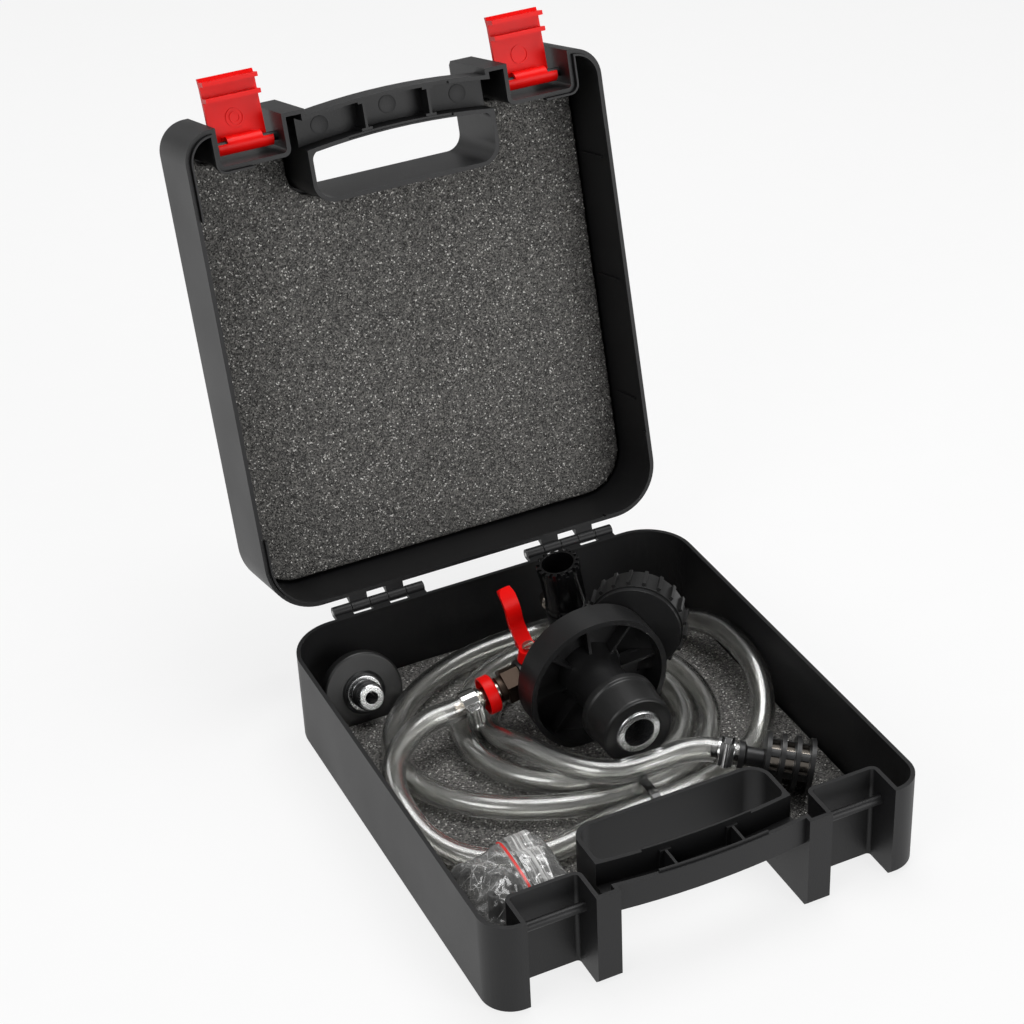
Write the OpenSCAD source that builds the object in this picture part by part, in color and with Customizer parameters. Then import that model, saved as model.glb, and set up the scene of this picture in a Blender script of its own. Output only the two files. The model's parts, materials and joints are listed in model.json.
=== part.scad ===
// Coolant refill kit in a hinged carrying case: vacuum filler head, hose, strainer, adapter and bag of cones.
// Millimetres, Z up, front of the case (handle) towards -Y, hinges at the back.

/* [Case] */
// Width of the closed case
case_w = 236; // [200:1:280]
// Depth of the closed case without handle bow and hinges
case_d = 265; // [235:1:310]
// Height of the lower tray
tray_h = 54.5; // [52:0.5:70]
// Height of the lid
lid_h = 49.5; // [48:0.5:65]
// Wall thickness of tray and lid
wall = 2.2; // [1.6:0.1:3]
// Radius of the back corners
back_r = 28; // [15:1:40]
// Radius of the front corners
front_r = 16; // [6:1:16]
// Angle at which the open lid stands in its stop
lid_open = 104.4; // [92:0.1:115]
// Gap between the rims of the closed case
rim_gap = 0.4; // [0.3:0.1:1]

/* [Handle and latches] */
// Half width of the finger opening between the two hollow pillars
finger_half = 51; // [45:0.1:53]
// Width of one hollow pillar beside the finger opening
pillar_w = 12.8; // [10:0.1:14]
// Width of one latch pocket
pocket_w = 35.6; // [30:0.1:37]
// Depth of a latch pocket
pocket_d = 20; // [17:0.5:24]
// Depth from the case front to the back wall of the finger opening
bay_d = 48.5; // [45:0.5:52]
// Height of the handle bar in each half
bar_h = 15.5; // [12:0.5:18]
// Depth of the handle bar
bar_d = 20; // [16:0.5:22]
// Forward bow of the handle bar in the middle
bar_bow = 3.3; // [2:0.1:6]
// Angle through which a latch swings from closed to fully open
latch_open = 95; // [80:1:100]
// Width of a latch
latch_w = 30; // [24:0.5:32]

/* [Foam] */
// Height of the tray foam's top face above the ground
foam_top = 12; // [11:0.5:14]
// Thickness of the lid foam
lid_foam_t = 11; // [8:0.5:11.5]

/* [Hose] */
// Outside diameter of the clear hose
hose_d = 13; // [10:0.5:13]
// Bore of the hose
hose_bore = 8.6; // [6:0.2:9]
// Number of turns in the coil
coil_turns = 3; // [3:1:3]

/* [Filler head] */
// Outside radius of the protecting ring
ring_r = 39.5; // [38:0.5:40]
// Depth of the protecting ring
ring_d = 17; // [15:0.5:18]
// Radius of the rubber stopper
stopper_r = 20; // [18:0.5:20.5]
// Radius of the vacuum gauge's case
gauge_r = 24.6; // [22:0.1:24.8]
// Outside radius of the muffler tube
muffler_r = 11.3; // [10:0.1:11.5]

/* [Hidden] */
$fn = 72;
// Running clearance of pins in their bores, and gap between fitted pieces
run_gap = 0.05;
fit_gap = 0.02;
loose_gap = 0.3;
// Joining overlap inside one solid
bite = 0.6;

// Case
lid_z = tray_h + rim_gap;
case_top = lid_z + lid_h;
hinge_y = case_d / 2 + 6.2;
hinge_z = tray_h + rim_gap / 2;
front_y = -case_d / 2;
pillar_out = finger_half + pillar_w;
pocket_out = pillar_out + pocket_w;
pocket_x = (pillar_out + pocket_out) / 2;
catch_y = front_y + 12.5;
catch_drop = 14;
catch_r = 2.5;
hinge_x = 58.5;
knuckle_n = 5;
knuckle_pitch = 10.8;
knuckle_w = 10.3;
knuckle_r = 3;
pin_r = 1.3;
chamfer = 2.5;
lip_h = 2.4;
lip_t = 1;
finger_r = 9;

// Hose
hose_r = hose_d / 2;
strand_pitch = hose_d + 0.8;
floor_z = foam_top + hose_r + 0.2;
pile_z = floor_z + hose_d + 1.6;
lead_sides = 10;
coil_sides = 6;
coil_rings = 24;
// Each turn of the coil: centre x, half width, front y and back y, and where the last strand lies on the pile
left_x = -case_w / 2;
right_x = case_w / 2;
back_y = case_d / 2;
coil_front_y = front_y + 84.7;
inner_half = right_x - 53;
inner_back = back_y - 33.7;
turn_mid = [9, 14, 14];
turn_half = [right_x - 19, inner_half, inner_half - strand_pitch];
turn_back = [back_y - 18.2, inner_back, inner_back - strand_pitch];
turn_front = [coil_front_y, coil_front_y + strand_pitch, coil_front_y + 1.6 + 2 * strand_pitch];
pile_y = coil_front_y + strand_pitch - 0.3;
wall_rise = 15;
wall_square = 0.8;
joint_run = 4;
// Where the hose is gripped by the two clamps
head_at = [17.6, back_y - 111.1, 46.2];
head_turn = [0, -9.5, -1];
valve_y = 30;
barb_x = -57;
strainer_at = [right_x - 57.7, front_y + 83.9, floor_z + 14.3];
strainer_turn = [0, 99.5, -32];

// Filler head
plate_t = 3;
web_t = 1.6;
ring_wall = 3;
neck_r = 14;
core_r = 12.5;
stopper_front = -44.5;
stopper_back = -21;
manifold_r = 10;
manifold_end = 49;
stem_x = -24;
stem_y = valve_y;
muffler_at = [12.3, 61.6];
muffler_rim = 37.2;
muffler_foot = 6;
gauge_at = [32.6, 19, 9.6];
gauge_turn = [-99.3, 0, -33.4];
gauge_depth = 15;
stem_r = 3.2;
valve_neck_r = 5.5;
valve_neck_top = 14.5;
stem_level = 2.2;
bezel_r = 25.5;
rib_count = 20;
rib_out = 1.9;
rib_w = 2;

// Points of a tube swept along path points, with its bore: rings of outer then inner vertices
function unit(v) = v / norm(v);
function along(p, i) = unit(p[min(i + 1, len(p) - 1)] - p[max(i - 1, 0)]);
function across(t) = unit(cross(t, [0, 0.02, 1]));
function ring_points(c, t, r, n) = let (u = across(t), v = cross(u, t))
  [for (k = [0:n - 1]) c + r * (cos(360 * k / n) * u + sin(360 * k / n) * v)];

// Smooth curve through hand placed points
function spline(p, n) = concat([for (i = [0:len(p) - 2], k = [0:n - 1]) blend(p, i, k / n)], [p[len(p) - 1]]);
function blend(p, i, t) = let (a = p[max(i - 1, 0)], b = p[i], c = p[i + 1], d = p[min(i + 2, len(p) - 1)])
  b + t * ((c - a) / 2 + t * ((2 * a - 5 * b + 4 * c - d) / 2 + t * (3 * b - a - 3 * c + d) / 2));

// Coil of the hose, as a function of the turn count s
function ease(x) = let (t = max(0, min(1, x))) t * t * (3 - 2 * t);
function by_turn(v, s) = v[0] + (v[1] - v[0]) * ease((s - 0.75) * 2) + (v[2] - v[1]) * ease((s - 1.75) * 2);
function coil_front(s) = turn_front[0] + (turn_front[1] - turn_front[0]) * min(s, 1)
  + (turn_front[2] - turn_front[1]) * min(max(s - 1, 0), 1)
  + (pile_y - turn_front[2]) * ease((s - 2.76) / 0.2);
// The outer strand leans up the right wall, and that half turn is squared off along the wall
function coil_z(s) = floor_z + wall_rise * (ease((s - 0.11) / 0.14) - ease((s - 0.25) / 0.14))
  + (pile_z - floor_z) * ease((s - 2.69) / 0.15);
function squared(v, s) = s < 0.5 ? sign(v) * pow(abs(v), wall_square) : v;
function coil_point(s) = let (f = coil_front(s), b = by_turn(turn_back, s))
  [by_turn(turn_mid, s) + by_turn(turn_half, s) * squared(sin(360 * s), s),
    (f + b) / 2 - (b - f) / 2 * squared(cos(360 * s), s), coil_z(s)];
coil_in = coil_point(0) - [joint_run, 0, 0];
coil_out = coil_point(coil_turns) + [joint_run, 0, 0];
coil_path = concat([coil_in], [for (i = [0:coil_turns * coil_rings]) coil_point(i / coil_rings)], [coil_out]);

// Free stretches of the hose: from the head's barb under the bag, and from the coil to the strainer
grip = 16;
head_axis = turned(head_turn, [-1, 0, 0]);
lead_start = place_on_head([barb_x, valve_y, 0]);
lead_route = [[left_x + 49, head_at[1] + 29.5, floor_z + 15.5],
  [left_x + 34, head_at[1] + 21.6, floor_z + 14.9],
  [left_x + 22, head_at[1] + 9.5, floor_z + 14.3], [left_x + 14.4, head_at[1] - 6, floor_z + 13.3],
  [left_x + 12, head_at[1] - 23, floor_z + 10.8], [left_x + 16, front_y + 109.5, floor_z + 5.3],
  [left_x + 27, front_y + 92.7, floor_z + 1.8], [left_x + 43.5, front_y + 81.6, floor_z + 0.5],
  [left_x + 63, front_y + 77.8, floor_z + 0.2], [left_x + 83, front_y + 79.1, floor_z + 0.1],
  [left_x + 103.6, front_y + 82.9, floor_z]];
lead_path = concat([lead_start, lead_start + grip / 2 * head_axis],
  spline(concat([lead_start + grip * head_axis], lead_route, [coil_in - [joint_run, 0, 0]]), 3), [coil_in]);
tail_axis = turned(strainer_turn, [0, 0, 1]);
tail_bend = [right_x - 81, front_y + 97.1, floor_z + 16.1];
tail_path = concat([coil_out],
  spline([coil_out + [joint_run, 0, 0], tail_bend, strainer_at - grip * tail_axis], 4),
  [strainer_at - grip / 2 * tail_axis, strainer_at]);

// Rotation by angles about x, then y, then z
function turn_x(a, v) = [v[0], v[1] * cos(a) - v[2] * sin(a), v[1] * sin(a) + v[2] * cos(a)];
function turn_y(a, v) = [v[0] * cos(a) + v[2] * sin(a), v[1], v[2] * cos(a) - v[0] * sin(a)];
function turn_z(a, v) = [v[0] * cos(a) - v[1] * sin(a), v[0] * sin(a) + v[1] * cos(a), v[2]];
function turned(a, v) = turn_z(a[2], turn_y(a[1], turn_x(a[0], v)));
function place_on_head(v) = head_at + turned(head_turn, v);

// Least gap of the coil to itself, over points that are at least a quarter turn apart
coil_gap = min([for (i = [0:len(coil_path) - 1], j = [0:len(coil_path) - 1])
  if (j > i + coil_rings / 4) norm(coil_path[i] - coil_path[j]) - hose_d]);
echo(coil_gap = coil_gap);

module tube_solid(path, n, ro, ri) {
  count = len(path);
  points = concat([for (i = [0:count - 1]) each ring_points(path[i], along(path, i), ro, n)],
    [for (i = [0:count - 1]) each ring_points(path[i], along(path, i), ri, n)]);
  inner = count * n;
  last = (count - 1) * n;
  sides = [for (i = [0:count - 2], k = [0:n - 1]) let (a = i * n + k, b = i * n + (k + 1) % n)
    each [[a, b, b + n], [a, b + n, a + n], [inner + b, inner + a, inner + a + n],
      [inner + b, inner + a + n, inner + b + n]]];
  ends = [for (k = [0:n - 1]) let (m = (k + 1) % n)
    each [[k, inner + k, inner + m], [k, inner + m, m],
      [last + m, inner + last + m, inner + last + k], [last + m, inner + last + k, last + k]]];
  polyhedron(points, concat(sides, ends), convexity = 8);
}

// Places and small shapes
module lid_place() {
  translate([0, hinge_y, hinge_z]) rotate([-lid_open, 0, 0]) translate([0, -hinge_y, -hinge_z]) children();
}

module on_head() {
  translate(head_at) rotate(head_turn) children();
}

module on_gauge() {
  on_head() translate(gauge_at) rotate(gauge_turn) children();
}

module on_strainer() {
  translate(strainer_at) rotate(strainer_turn) children();
}

module rear() {
  rotate([-90, 0, 0]) children();
}

module leftward() {
  rotate([0, -90, 0]) children();
}

module sideward() {
  rotate([0, 90, 0]) children();
}

module pipe(r_out, r_in, h) {
  difference() {
    cylinder(r = r_out, h = h);
    translate([0, 0, -1]) cylinder(r = r_in, h = h + 2);
  }
}

// Rounded rectangle from y0 to y1 with its own radii at front and back
module soft_rect(half, y0, y1, r0, r1) {
  mid = (y0 + r0 + y1 - r1) / 2;
  translate([-half, y0 + r0]) square([2 * half, y1 - y0 - r0 - r1]);
  translate([-half + r0, y0]) square([2 * half - 2 * r0, mid - y0]);
  translate([-half + r1, mid - bite]) square([2 * half - 2 * r1, y1 - mid + bite]);
  for (s = [-1, 1]) {
    translate([s * (half - r0), y0 + r0]) circle(r = r0);
    translate([s * (half - r1), y1 - r1]) circle(r = r1);
  }
}

// Outline of both case halves, drawn in by g: latch pockets and finger bay are cut into the front
module case_plan(g) {
  difference() {
    soft_rect(case_w / 2 - g, front_y + g, case_d / 2 - g, front_r - g, back_r - g);
    for (s = [-1, 1])
      translate([s * pocket_x, 0])
        soft_rect(pocket_w / 2 + g, front_y - 20, front_y + pocket_d + g, 3, 2 + g);
    soft_rect(finger_half + g, front_y - 30, front_y + bay_d + g, 3, finger_r + g);
  }
}

// Plan of the bowed handle bar, drawn in by g, which runs into the pillars by reach
bow_r = (pow(finger_half, 2) + pow(bar_bow, 2)) / (2 * bar_bow);
bar_set = 3.5;
bar_front = front_y + bar_set;
slot_r = 5;
rib_x = 18.2;
rib_t = 1.4;
rib_foot = 6;
rib_drop = 3;
module bar_plan(g, reach) {
  intersection() {
    difference() {
      translate([0, bar_front - bar_bow + bow_r]) circle(r = bow_r - g, $fn = 240);
      translate([0, bar_front - bar_bow + bar_d + bow_r]) circle(r = bow_r + g, $fn = 240);
    }
    translate([-finger_half - reach, bar_front - 2 * bar_bow])
      square([2 * (finger_half + reach), 2 * bar_bow + bar_d + 2]);
  }
}

// Rounded front corners of the finger slot behind the bar
module slot_corners() {
  for (s = [-1, 1])
    translate([s * (finger_half - slot_r), bar_front + bar_d - 1]) difference() {
      translate([s > 0 ? 0 : -slot_r - bite, 0]) square([slot_r + bite, slot_r]);
      translate([0, slot_r]) circle(r = slot_r);
    }
}

// Two cross ribs in the handle's channel, wider where they join its walls
module bar_ribs() {
  intersection() {
    translate([0, 0, wall / 2]) linear_extrude(bar_h - rib_drop) bar_plan(wall / 2, 0);
    for (s = [-1, 1])
      translate([s * rib_x - rib_t / 2, front_y - case_d / 2, 0]) cube([rib_t, case_d, bar_h]);
  }
  intersection() {
    translate([0, 0, wall / 2]) linear_extrude(bar_h - rib_drop) difference() {
      bar_plan(wall / 2, 0);
      bar_plan(wall + rib_t, 0);
    }
    for (s = [-1, 1])
      translate([s * rib_x - rib_foot / 2, front_y - case_d / 2, 0]) cube([rib_foot, case_d, bar_h]);
  }
}

// Lips along the middle of the tray's handle walls, from g0 to g1 in the wall, which enter the lid's grooves
tongue_half = 29.5;
tongue_h = 1.4;
module tongue_plan(g0, g1, half) {
  intersection() {
    difference() {
      bar_plan(g0, 0);
      bar_plan(g1, 0);
    }
    translate([-half, front_y - case_d / 2]) square([2 * half, case_d]);
  }
}

// Bevel all round the lower outside edge, as a cutter
module edge_bevel() {
  side = chamfer * sqrt(2);
  for (s = [-1, 1])
    translate([s * case_w / 2, 0, 0]) rotate([0, 45, 0]) cube([side, case_d + 20, side], center = true);
  translate([0, case_d / 2, 0]) rotate([45, 0, 0]) cube([case_w - 2 * back_r, side, side], center = true);
  translate([0, front_y, 0]) rotate([45, 0, 0]) cube([case_w - 2 * front_r, side, side], center = true);
}

// One case half before its hinge parts, standing on its closed face
module case_half(height) {
  difference() {
    union() {
      linear_extrude(height) case_plan(0);
      translate([0, 0, height - bar_h]) linear_extrude(bar_h) {
        bar_plan(0, bite);
        slot_corners();
      }
    }
    translate([0, 0, wall]) linear_extrude(height) case_plan(wall);
    translate([0, 0, height - bar_h + wall]) linear_extrude(bar_h) bar_plan(wall, wall + bite);
    edge_bevel();
  }
  translate([0, 0, height - bar_h]) bar_ribs();
  for (s = [-1, 1])
    translate([s * pocket_x - pocket_w / 2 - wall / 2, catch_y, height - catch_drop])
      sideward() cylinder(r = catch_r, h = pocket_w + wall, $fn = 32);
}

// Knuckles of one half: first and step choose every other one
module knuckles(first, clearance) {
  for (s = [-1, 1], k = [first:2:knuckle_n - 1])
    translate([s * hinge_x + (k - (knuckle_n - 1) / 2) * knuckle_pitch - knuckle_w / 2, 0, 0])
      difference() {
        union() {
          translate([0, hinge_y, hinge_z]) sideward() cylinder(r = knuckle_r, h = knuckle_w, $fn = 40);
          translate([0, case_d / 2 - wall / 2, hinge_z - knuckle_r])
            cube([knuckle_w, hinge_y - case_d / 2 + wall / 2, knuckle_r - bite]);
          translate([0, case_d / 2 - wall / 2, hinge_z - 3 * knuckle_r])
            rotate([90, 0, 90]) linear_extrude(knuckle_w)
              polygon([[0, 0], [wall / 2, 0], [hinge_y - case_d / 2 - 1, 2 * knuckle_r + bite],
                [0, 2 * knuckle_r + bite]]);
        }
        translate([-1, hinge_y, hinge_z]) sideward()
          cylinder(r = pin_r + clearance, h = knuckle_w + 2, $fn = 32);
      }
}

module tray_shell() {
  color("#3a3a3a") {
    case_half(tray_h);
    translate([0, 0, tray_h - bite]) linear_extrude(bite + tongue_h) tongue_plan(wall / 2, wall, tongue_half);
    knuckles(0, fit_gap);
  }
}

module lid_shell() {
  color("#3a3a3a") lid_place() {
    difference() {
      translate([0, 0, case_top]) mirror([0, 0, 1]) case_half(lid_h);
      translate([0, 0, lid_z - 1]) linear_extrude(1 + tongue_h - rim_gap + loose_gap)
        tongue_plan(wall / 2 - loose_gap, wall + loose_gap, tongue_half + loose_gap);
    }
    translate([0, 0, 2 * hinge_z]) mirror([0, 0, 1]) knuckles(1, run_gap);
    corner_lips();
    side_ribs();
  }
}

// Short locating lips at the lid's corners, which drop inside the tray's wall
module corner_lips() {
  intersection() {
    translate([0, 0, lid_z - lip_h]) linear_extrude(2 * lip_h) difference() {
      case_plan(wall + loose_gap);
      case_plan(wall + loose_gap + lip_t);
    }
    for (x = [-1, 1], y = [-1, 1])
      translate([x * case_w / 2, y * case_d / 2, lid_z]) cube([70, 90, 20], center = true);
  }
  intersection() {
    translate([0, 0, lid_z + lip_h / 2]) linear_extrude(lip_h / 2) difference() {
      case_plan(wall / 2);
      case_plan(wall + loose_gap + lip_t);
    }
    for (x = [-1, 1], y = [-1, 1])
      translate([x * case_w / 2, y * case_d / 2, lid_z]) cube([70, 90, 20], center = true);
  }
}

// Three stiffening ribs inside each side wall of the lid
module side_ribs() {
  for (s = [-1, 1], y = [-70, 0, 70])
    translate([s * (case_w / 2 - wall - 0.4), y, lid_z + 20]) cube([1.6, 1.2, 24], center = true);
}

module hinge_pins() {
  color("#9a9a9a") for (s = [-1, 1])
    translate([s * hinge_x - knuckle_n * knuckle_pitch / 2, hinge_y, hinge_z]) sideward()
      cylinder(r = pin_r, h = knuckle_n * knuckle_pitch, $fn = 32);
}

// Tray foam with recesses for the ring, the adapter and the cable tie
module tray_foam() {
  color("#4a4846") difference() {
    translate([0, 0, wall]) linear_extrude(foam_top - wall) case_plan(wall + loose_gap);
    on_head() translate([0, -0.5, 0]) rear() cylinder(r = ring_r + loose_gap, h = ring_d + 1);
    on_adapter() translate([0, 0, -adapter_t - loose_gap])
      cylinder(r = adapter_r + loose_gap, h = adapter_t + 1);
    translate([tie_x - tie_w / 2 - 1, tie_y0 - hose_r - 2, foam_top - 2])
      cube([tie_w + 2, tie_y1 - tie_y0 + hose_d + 4, 4]);
  }
}

module lid_foam() {
  color("#4a4846") lid_place() translate([0, 0, case_top - wall - lid_foam_t - fit_gap])
    linear_extrude(lid_foam_t) case_plan(wall + 1.5);
}

// Latch: C clip round the lid's bar, plate with finger tab, and two ridges that take the tray's bar
pivot_z = lid_z + catch_drop;
hook_z = tray_h - catch_drop;
plate_y = catch_y - 7.2;
plate_depth = 2.6;
latch_tip = pivot_z - 35.4;
clip_r = catch_r + 2.2;
clip_mouth = 3.4;
ridge_t = 2.4;
notch_w = 5.5;
mark_z = pivot_z - 12.8;
mark_r = 5;
module latch_profile() {
  difference() {
    union() {
      translate([catch_y, pivot_z]) circle(r = clip_r);
      translate([plate_y - plate_depth, latch_tip + 4]) square([plate_depth, pivot_z + 2 - latch_tip - 4]);
      translate([plate_y - plate_depth, pivot_z - 4]) square([catch_y - catch_r - plate_y + plate_depth, 6]);
      polygon([[plate_y - plate_depth, latch_tip + 5], [plate_y, latch_tip + 5],
        [plate_y - 1.2, latch_tip], [plate_y - plate_depth - 1.2, latch_tip]]);
      translate([plate_y - plate_depth / 2, hook_z - catch_r - loose_gap - ridge_t])
        square([catch_y - 1 - plate_y + plate_depth / 2, ridge_t]);
      translate([plate_y - bite, hook_z + catch_r + 0.8]) square([catch_y - 1 - plate_y + bite, ridge_t]);
    }
    translate([catch_y, pivot_z]) circle(r = catch_r + run_gap, $fn = 32);
    translate([catch_y - clip_mouth / 2, pivot_z]) square([clip_mouth, 2 * clip_r]);
  }
}

// The clip's lower half is notched at both ends, and a ring is marked on the plate, a double one on the left
module latch(side) {
  lid_place() translate([side * pocket_x, catch_y, pivot_z]) rotate([-latch_open, 0, 0])
    translate([0, -catch_y, -pivot_z]) {
      difference() {
        translate([-latch_w / 2, 0, 0]) rotate([90, 0, 90]) linear_extrude(latch_w) latch_profile();
        for (s = [-1, 1])
          translate([s * (latch_w / 2 - notch_w / 2 + 1), catch_y, pivot_z - 5])
            cube([notch_w + 2, 2 * (catch_y - plate_y), 7.6], center = true);
      }
      translate([0, plate_y - bite, mark_z]) rear() {
        pipe(mark_r, mark_r - 0.8, 2 * bite);
        if (side < 0) pipe(mark_r - 2, mark_r - 2.7, 2 * bite);
      }
    }
}

module left_latch() {
  color("#d81a1e") latch(-1);
}

module right_latch() {
  color("#d81a1e") latch(1);
}

// Ring, back plate, flared hub and neck turned as one profile, then ribs, window and gauge recess
module head_housing() {
  color("#1c1c1c") on_head() difference() {
    union() {
      rear() rotate_extrude() polygon([[core_r + fit_gap, stopper_back], [neck_r + 1, stopper_back],
        [neck_r, -8], [neck_r + 1, 4], [neck_r + 4, ring_d - plate_t], [ring_r - ring_wall, ring_d - plate_t],
        [ring_r - ring_wall, 0], [ring_r, 0], [ring_r, ring_d], [neck_r, ring_d], [neck_r - 2, ring_d + 3],
        [manifold_r + fit_gap, ring_d + 3],
        [manifold_r + fit_gap, ring_d - 4], [core_r + fit_gap, ring_d - 8]]);
      for (k = [0:7])
        rotate([0, 45 * k + 4, 0]) translate([neck_r, ring_d - plate_t - 7, -web_t / 2])
          cube([ring_r - neck_r - ring_wall / 2, 7.5, web_t]);
      // Gusset on the left, from the ring's back to the manifold
      translate([-7, ring_d - bite, manifold_r + 0.3]) rotate([0, -90, 0]) linear_extrude(3)
        polygon([[0, 0], [ring_r - manifold_r - 4, 0], [4, 26], [0, 26]]);
    }
    // Window on the right, between two ribs
    translate([0, ring_d - plate_t - 1, 0]) rear() linear_extrude(plate_t + 2) difference() {
      intersection() {
        circle(r = ring_r - ring_wall - 2);
        rotate(-39) square(60);
        rotate(-88) square(60);
      }
      circle(r = neck_r + 5);
    }
    gauge_space();
  }
}

// Room that the gauge takes out of the ring
module gauge_space() {
  translate(gauge_at) rotate(gauge_turn) {
    translate([0, 0, -3.4]) cylinder(r = gauge_r + 0.6, h = 4);
    cylinder(r = bezel_r + rib_out + 0.5, h = gauge_depth + 2);
  }
}

module stopper_rubber() {
  color("#151515") on_head() rear() rotate_extrude()
    polygon([[core_r + fit_gap, stopper_front], [stopper_r - 1.5, stopper_front],
      [stopper_r - 0.4, stopper_front + 1.2], [stopper_r, stopper_back - 5],
      [stopper_r + 1, stopper_back - 4], [stopper_r + 1, stopper_back], [core_r + fit_gap, stopper_back]]);
}

module stopper_core() {
  color("#b9bcc0") on_head() rear() rotate_extrude()
    polygon([[8.3, stopper_front - 0.8], [core_r - 0.8, stopper_front - 0.8], [core_r, stopper_front],
      [core_r, ring_d - 8], [8.3, ring_d - 8]]);
}

// Cross piece behind the plate: bore from the stopper, valve port on the left, boss for the gauge
module manifold() {
  color("#1a1a1a") on_head() difference() {
    union() {
      translate([0, ring_d - 4, 0]) rear() cylinder(r = manifold_r, h = manifold_end - ring_d + 4);
      translate([0, valve_y, 0]) leftward() cylinder(r = manifold_r - 0.5, h = 12);
      intersection() {
        gauge_port(27.8, 39, 5.5);
        translate([0, ring_d + 5, -20]) cube([30, 30, 40]);
      }
    }
    translate([0, ring_d - 5, 0]) rear() cylinder(r = 5, h = manifold_end - ring_d + 6);
    translate([0, valve_y, 0]) leftward() cylinder(r = 5, h = 13);
    gauge_port(26, 33, stem_r + fit_gap);
  }
}

// Stem place of the gauge: a cylinder along the gauge's own left
module gauge_port(from, to, r) {
  translate(gauge_at) rotate(gauge_turn) translate([-from, 0, stem_level]) leftward()
    cylinder(r = r, h = to - from, $fn = 32);
}

module venturi_body() {
  color("#1a1a1a") on_head() difference() {
    union() {
      translate([muffler_at[0], muffler_at[1], -16]) cylinder(r = muffler_r + 0.7, h = 16 + muffler_foot);
      translate([muffler_at[0], muffler_at[1], -18]) cylinder(r = muffler_r - 2, h = 3);
      translate([muffler_at[0] - 6, manifold_end, 0]) rear()
        cylinder(r = 5.6, h = muffler_at[1] - manifold_end);
    }
    translate([muffler_at[0], muffler_at[1], -14]) cylinder(r = 7, h = 30);
    translate([muffler_at[0] - 6, manifold_end - 1, 0]) rear()
      cylinder(r = 3.6, h = muffler_at[1] - manifold_end);
    translate([muffler_at[0], muffler_at[1], -9]) rear() cylinder(r = 4 + fit_gap, h = 30, $fn = 32);
  }
}

module venturi_nozzle() {
  color("#c9a24a") on_head() translate([muffler_at[0], muffler_at[1], 0]) rotate_extrude($fn = 48)
    polygon([[2.2, -4], [7 - fit_gap, -4], [7 - fit_gap, 3], [3.5, 3], [1.4, 0]]);
}

// Muffler tube with a ribbed rim round its mouth
module muffler_tube() {
  color("#111111") on_head() translate([muffler_at[0], muffler_at[1], 0]) difference() {
    union() {
      translate([0, 0, muffler_foot]) cylinder(r = muffler_r, h = muffler_rim - muffler_foot - 1);
      translate([0, 0, muffler_foot + 2]) cylinder(r = muffler_r + 0.5, h = 2.5);
      translate([0, 0, muffler_rim - 5]) cylinder(r = muffler_r + 0.5, h = 5);
    }
    translate([0, 0, muffler_foot - 1]) cylinder(r = muffler_r - 2.6, h = 60);
    for (k = [0:15])
      rotate(22.5 * k) translate([muffler_r - 1.4, -1, muffler_rim - 2.4]) cube([6, 2, 5]);
  }
}

// Compressed air plug on the back of the venturi
module air_nipple() {
  color("#b8b8b8") on_head() translate([muffler_at[0], muffler_at[1], -9]) rear() {
    difference() {
      union() {
        translate([0, 0, 8]) cylinder(r = 4, h = 6, $fn = 32);
        translate([0, 0, muffler_r + 1]) cylinder(r = 7, h = 5, $fn = 6);
        translate([0, 0, muffler_r + 5]) rotate_extrude($fn = 40)
          polygon([[0, 0], [4.6, 0], [4.6, 6], [3.6, 8], [3.6, 10], [5.2, 12], [5.2, 14], [4, 18], [0, 18]]);
      }
      translate([0, 0, 7]) cylinder(r = 2.2, h = 40, $fn = 24);
    }
  }
}

// Vacuum gauge: cup with a ledge for the dial, knurled boot, lens, needle, Bourdon tube and stem
module gauge_case() {
  color("#202020") on_gauge() difference() {
    translate([0, 0, -3]) cylinder(r = gauge_r, h = gauge_depth);
    translate([0, 0, -1.5]) cylinder(r = gauge_r - 3.2, h = gauge_depth);
    translate([0, 0, 6]) cylinder(r = gauge_r - 1.4, h = gauge_depth);
    translate([-gauge_r - 1, 0, stem_level]) sideward() cylinder(r = stem_r + fit_gap, h = 8, $fn = 32);
  }
}

module gauge_bezel() {
  color("#181818") on_gauge() difference() {
    union() {
      cylinder(r = bezel_r, h = gauge_depth);
      for (k = [0:rib_count - 1])
        rotate(360 / rib_count * k) translate([bezel_r - 1, -rib_w / 2, 1.2])
          cube([1 + rib_out, rib_w, gauge_depth - 2.4]);
    }
    translate([0, 0, -1]) cylinder(r = gauge_r + fit_gap, h = gauge_depth - 0.4);
    cylinder(r = gauge_r - 2.6, h = gauge_depth + 1);
    translate([-gauge_r - 6, 0, stem_level]) sideward() cylinder(r = stem_r + loose_gap, h = 8, $fn = 32);
  }
}

module gauge_lens() {
  color("#dfe8ec", 0.4) on_gauge() translate([0, 0, gauge_depth - 3])
    cylinder(r = gauge_r - fit_gap, h = 1.6 - fit_gap);
}

module gauge_dial() {
  color("#f2f2ee") on_gauge() translate([0, 0, 6]) pipe(gauge_r - 1.4 - fit_gap, 1.2, 0.8);
}

module gauge_needle() {
  color("#c02020") on_gauge() {
    translate([0, 0, 2]) cylinder(r = 0.8, h = 7, $fn = 24);
    translate([0, 0, 8]) cylinder(r = 2.4, h = 1.4, $fn = 32);
    translate([0, 0, 8.2]) rotate(135) linear_extrude(0.8)
      polygon([[-6, -1], [0, -1.4], [gauge_r - 6, -0.3], [gauge_r - 6, 0.3], [0, 1.4], [-6, 1]]);
  }
}

module bourdon_tube() {
  color("#b58a3a") on_gauge() {
    translate([0, 0, 0.5]) rotate(-170) rotate_extrude(angle = 240, $fn = 64)
      translate([14, 0]) square([1.6, 4]);
    translate([-17.5, -4, -1.5]) cube([4.5, 7, 7]);
  }
}

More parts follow.
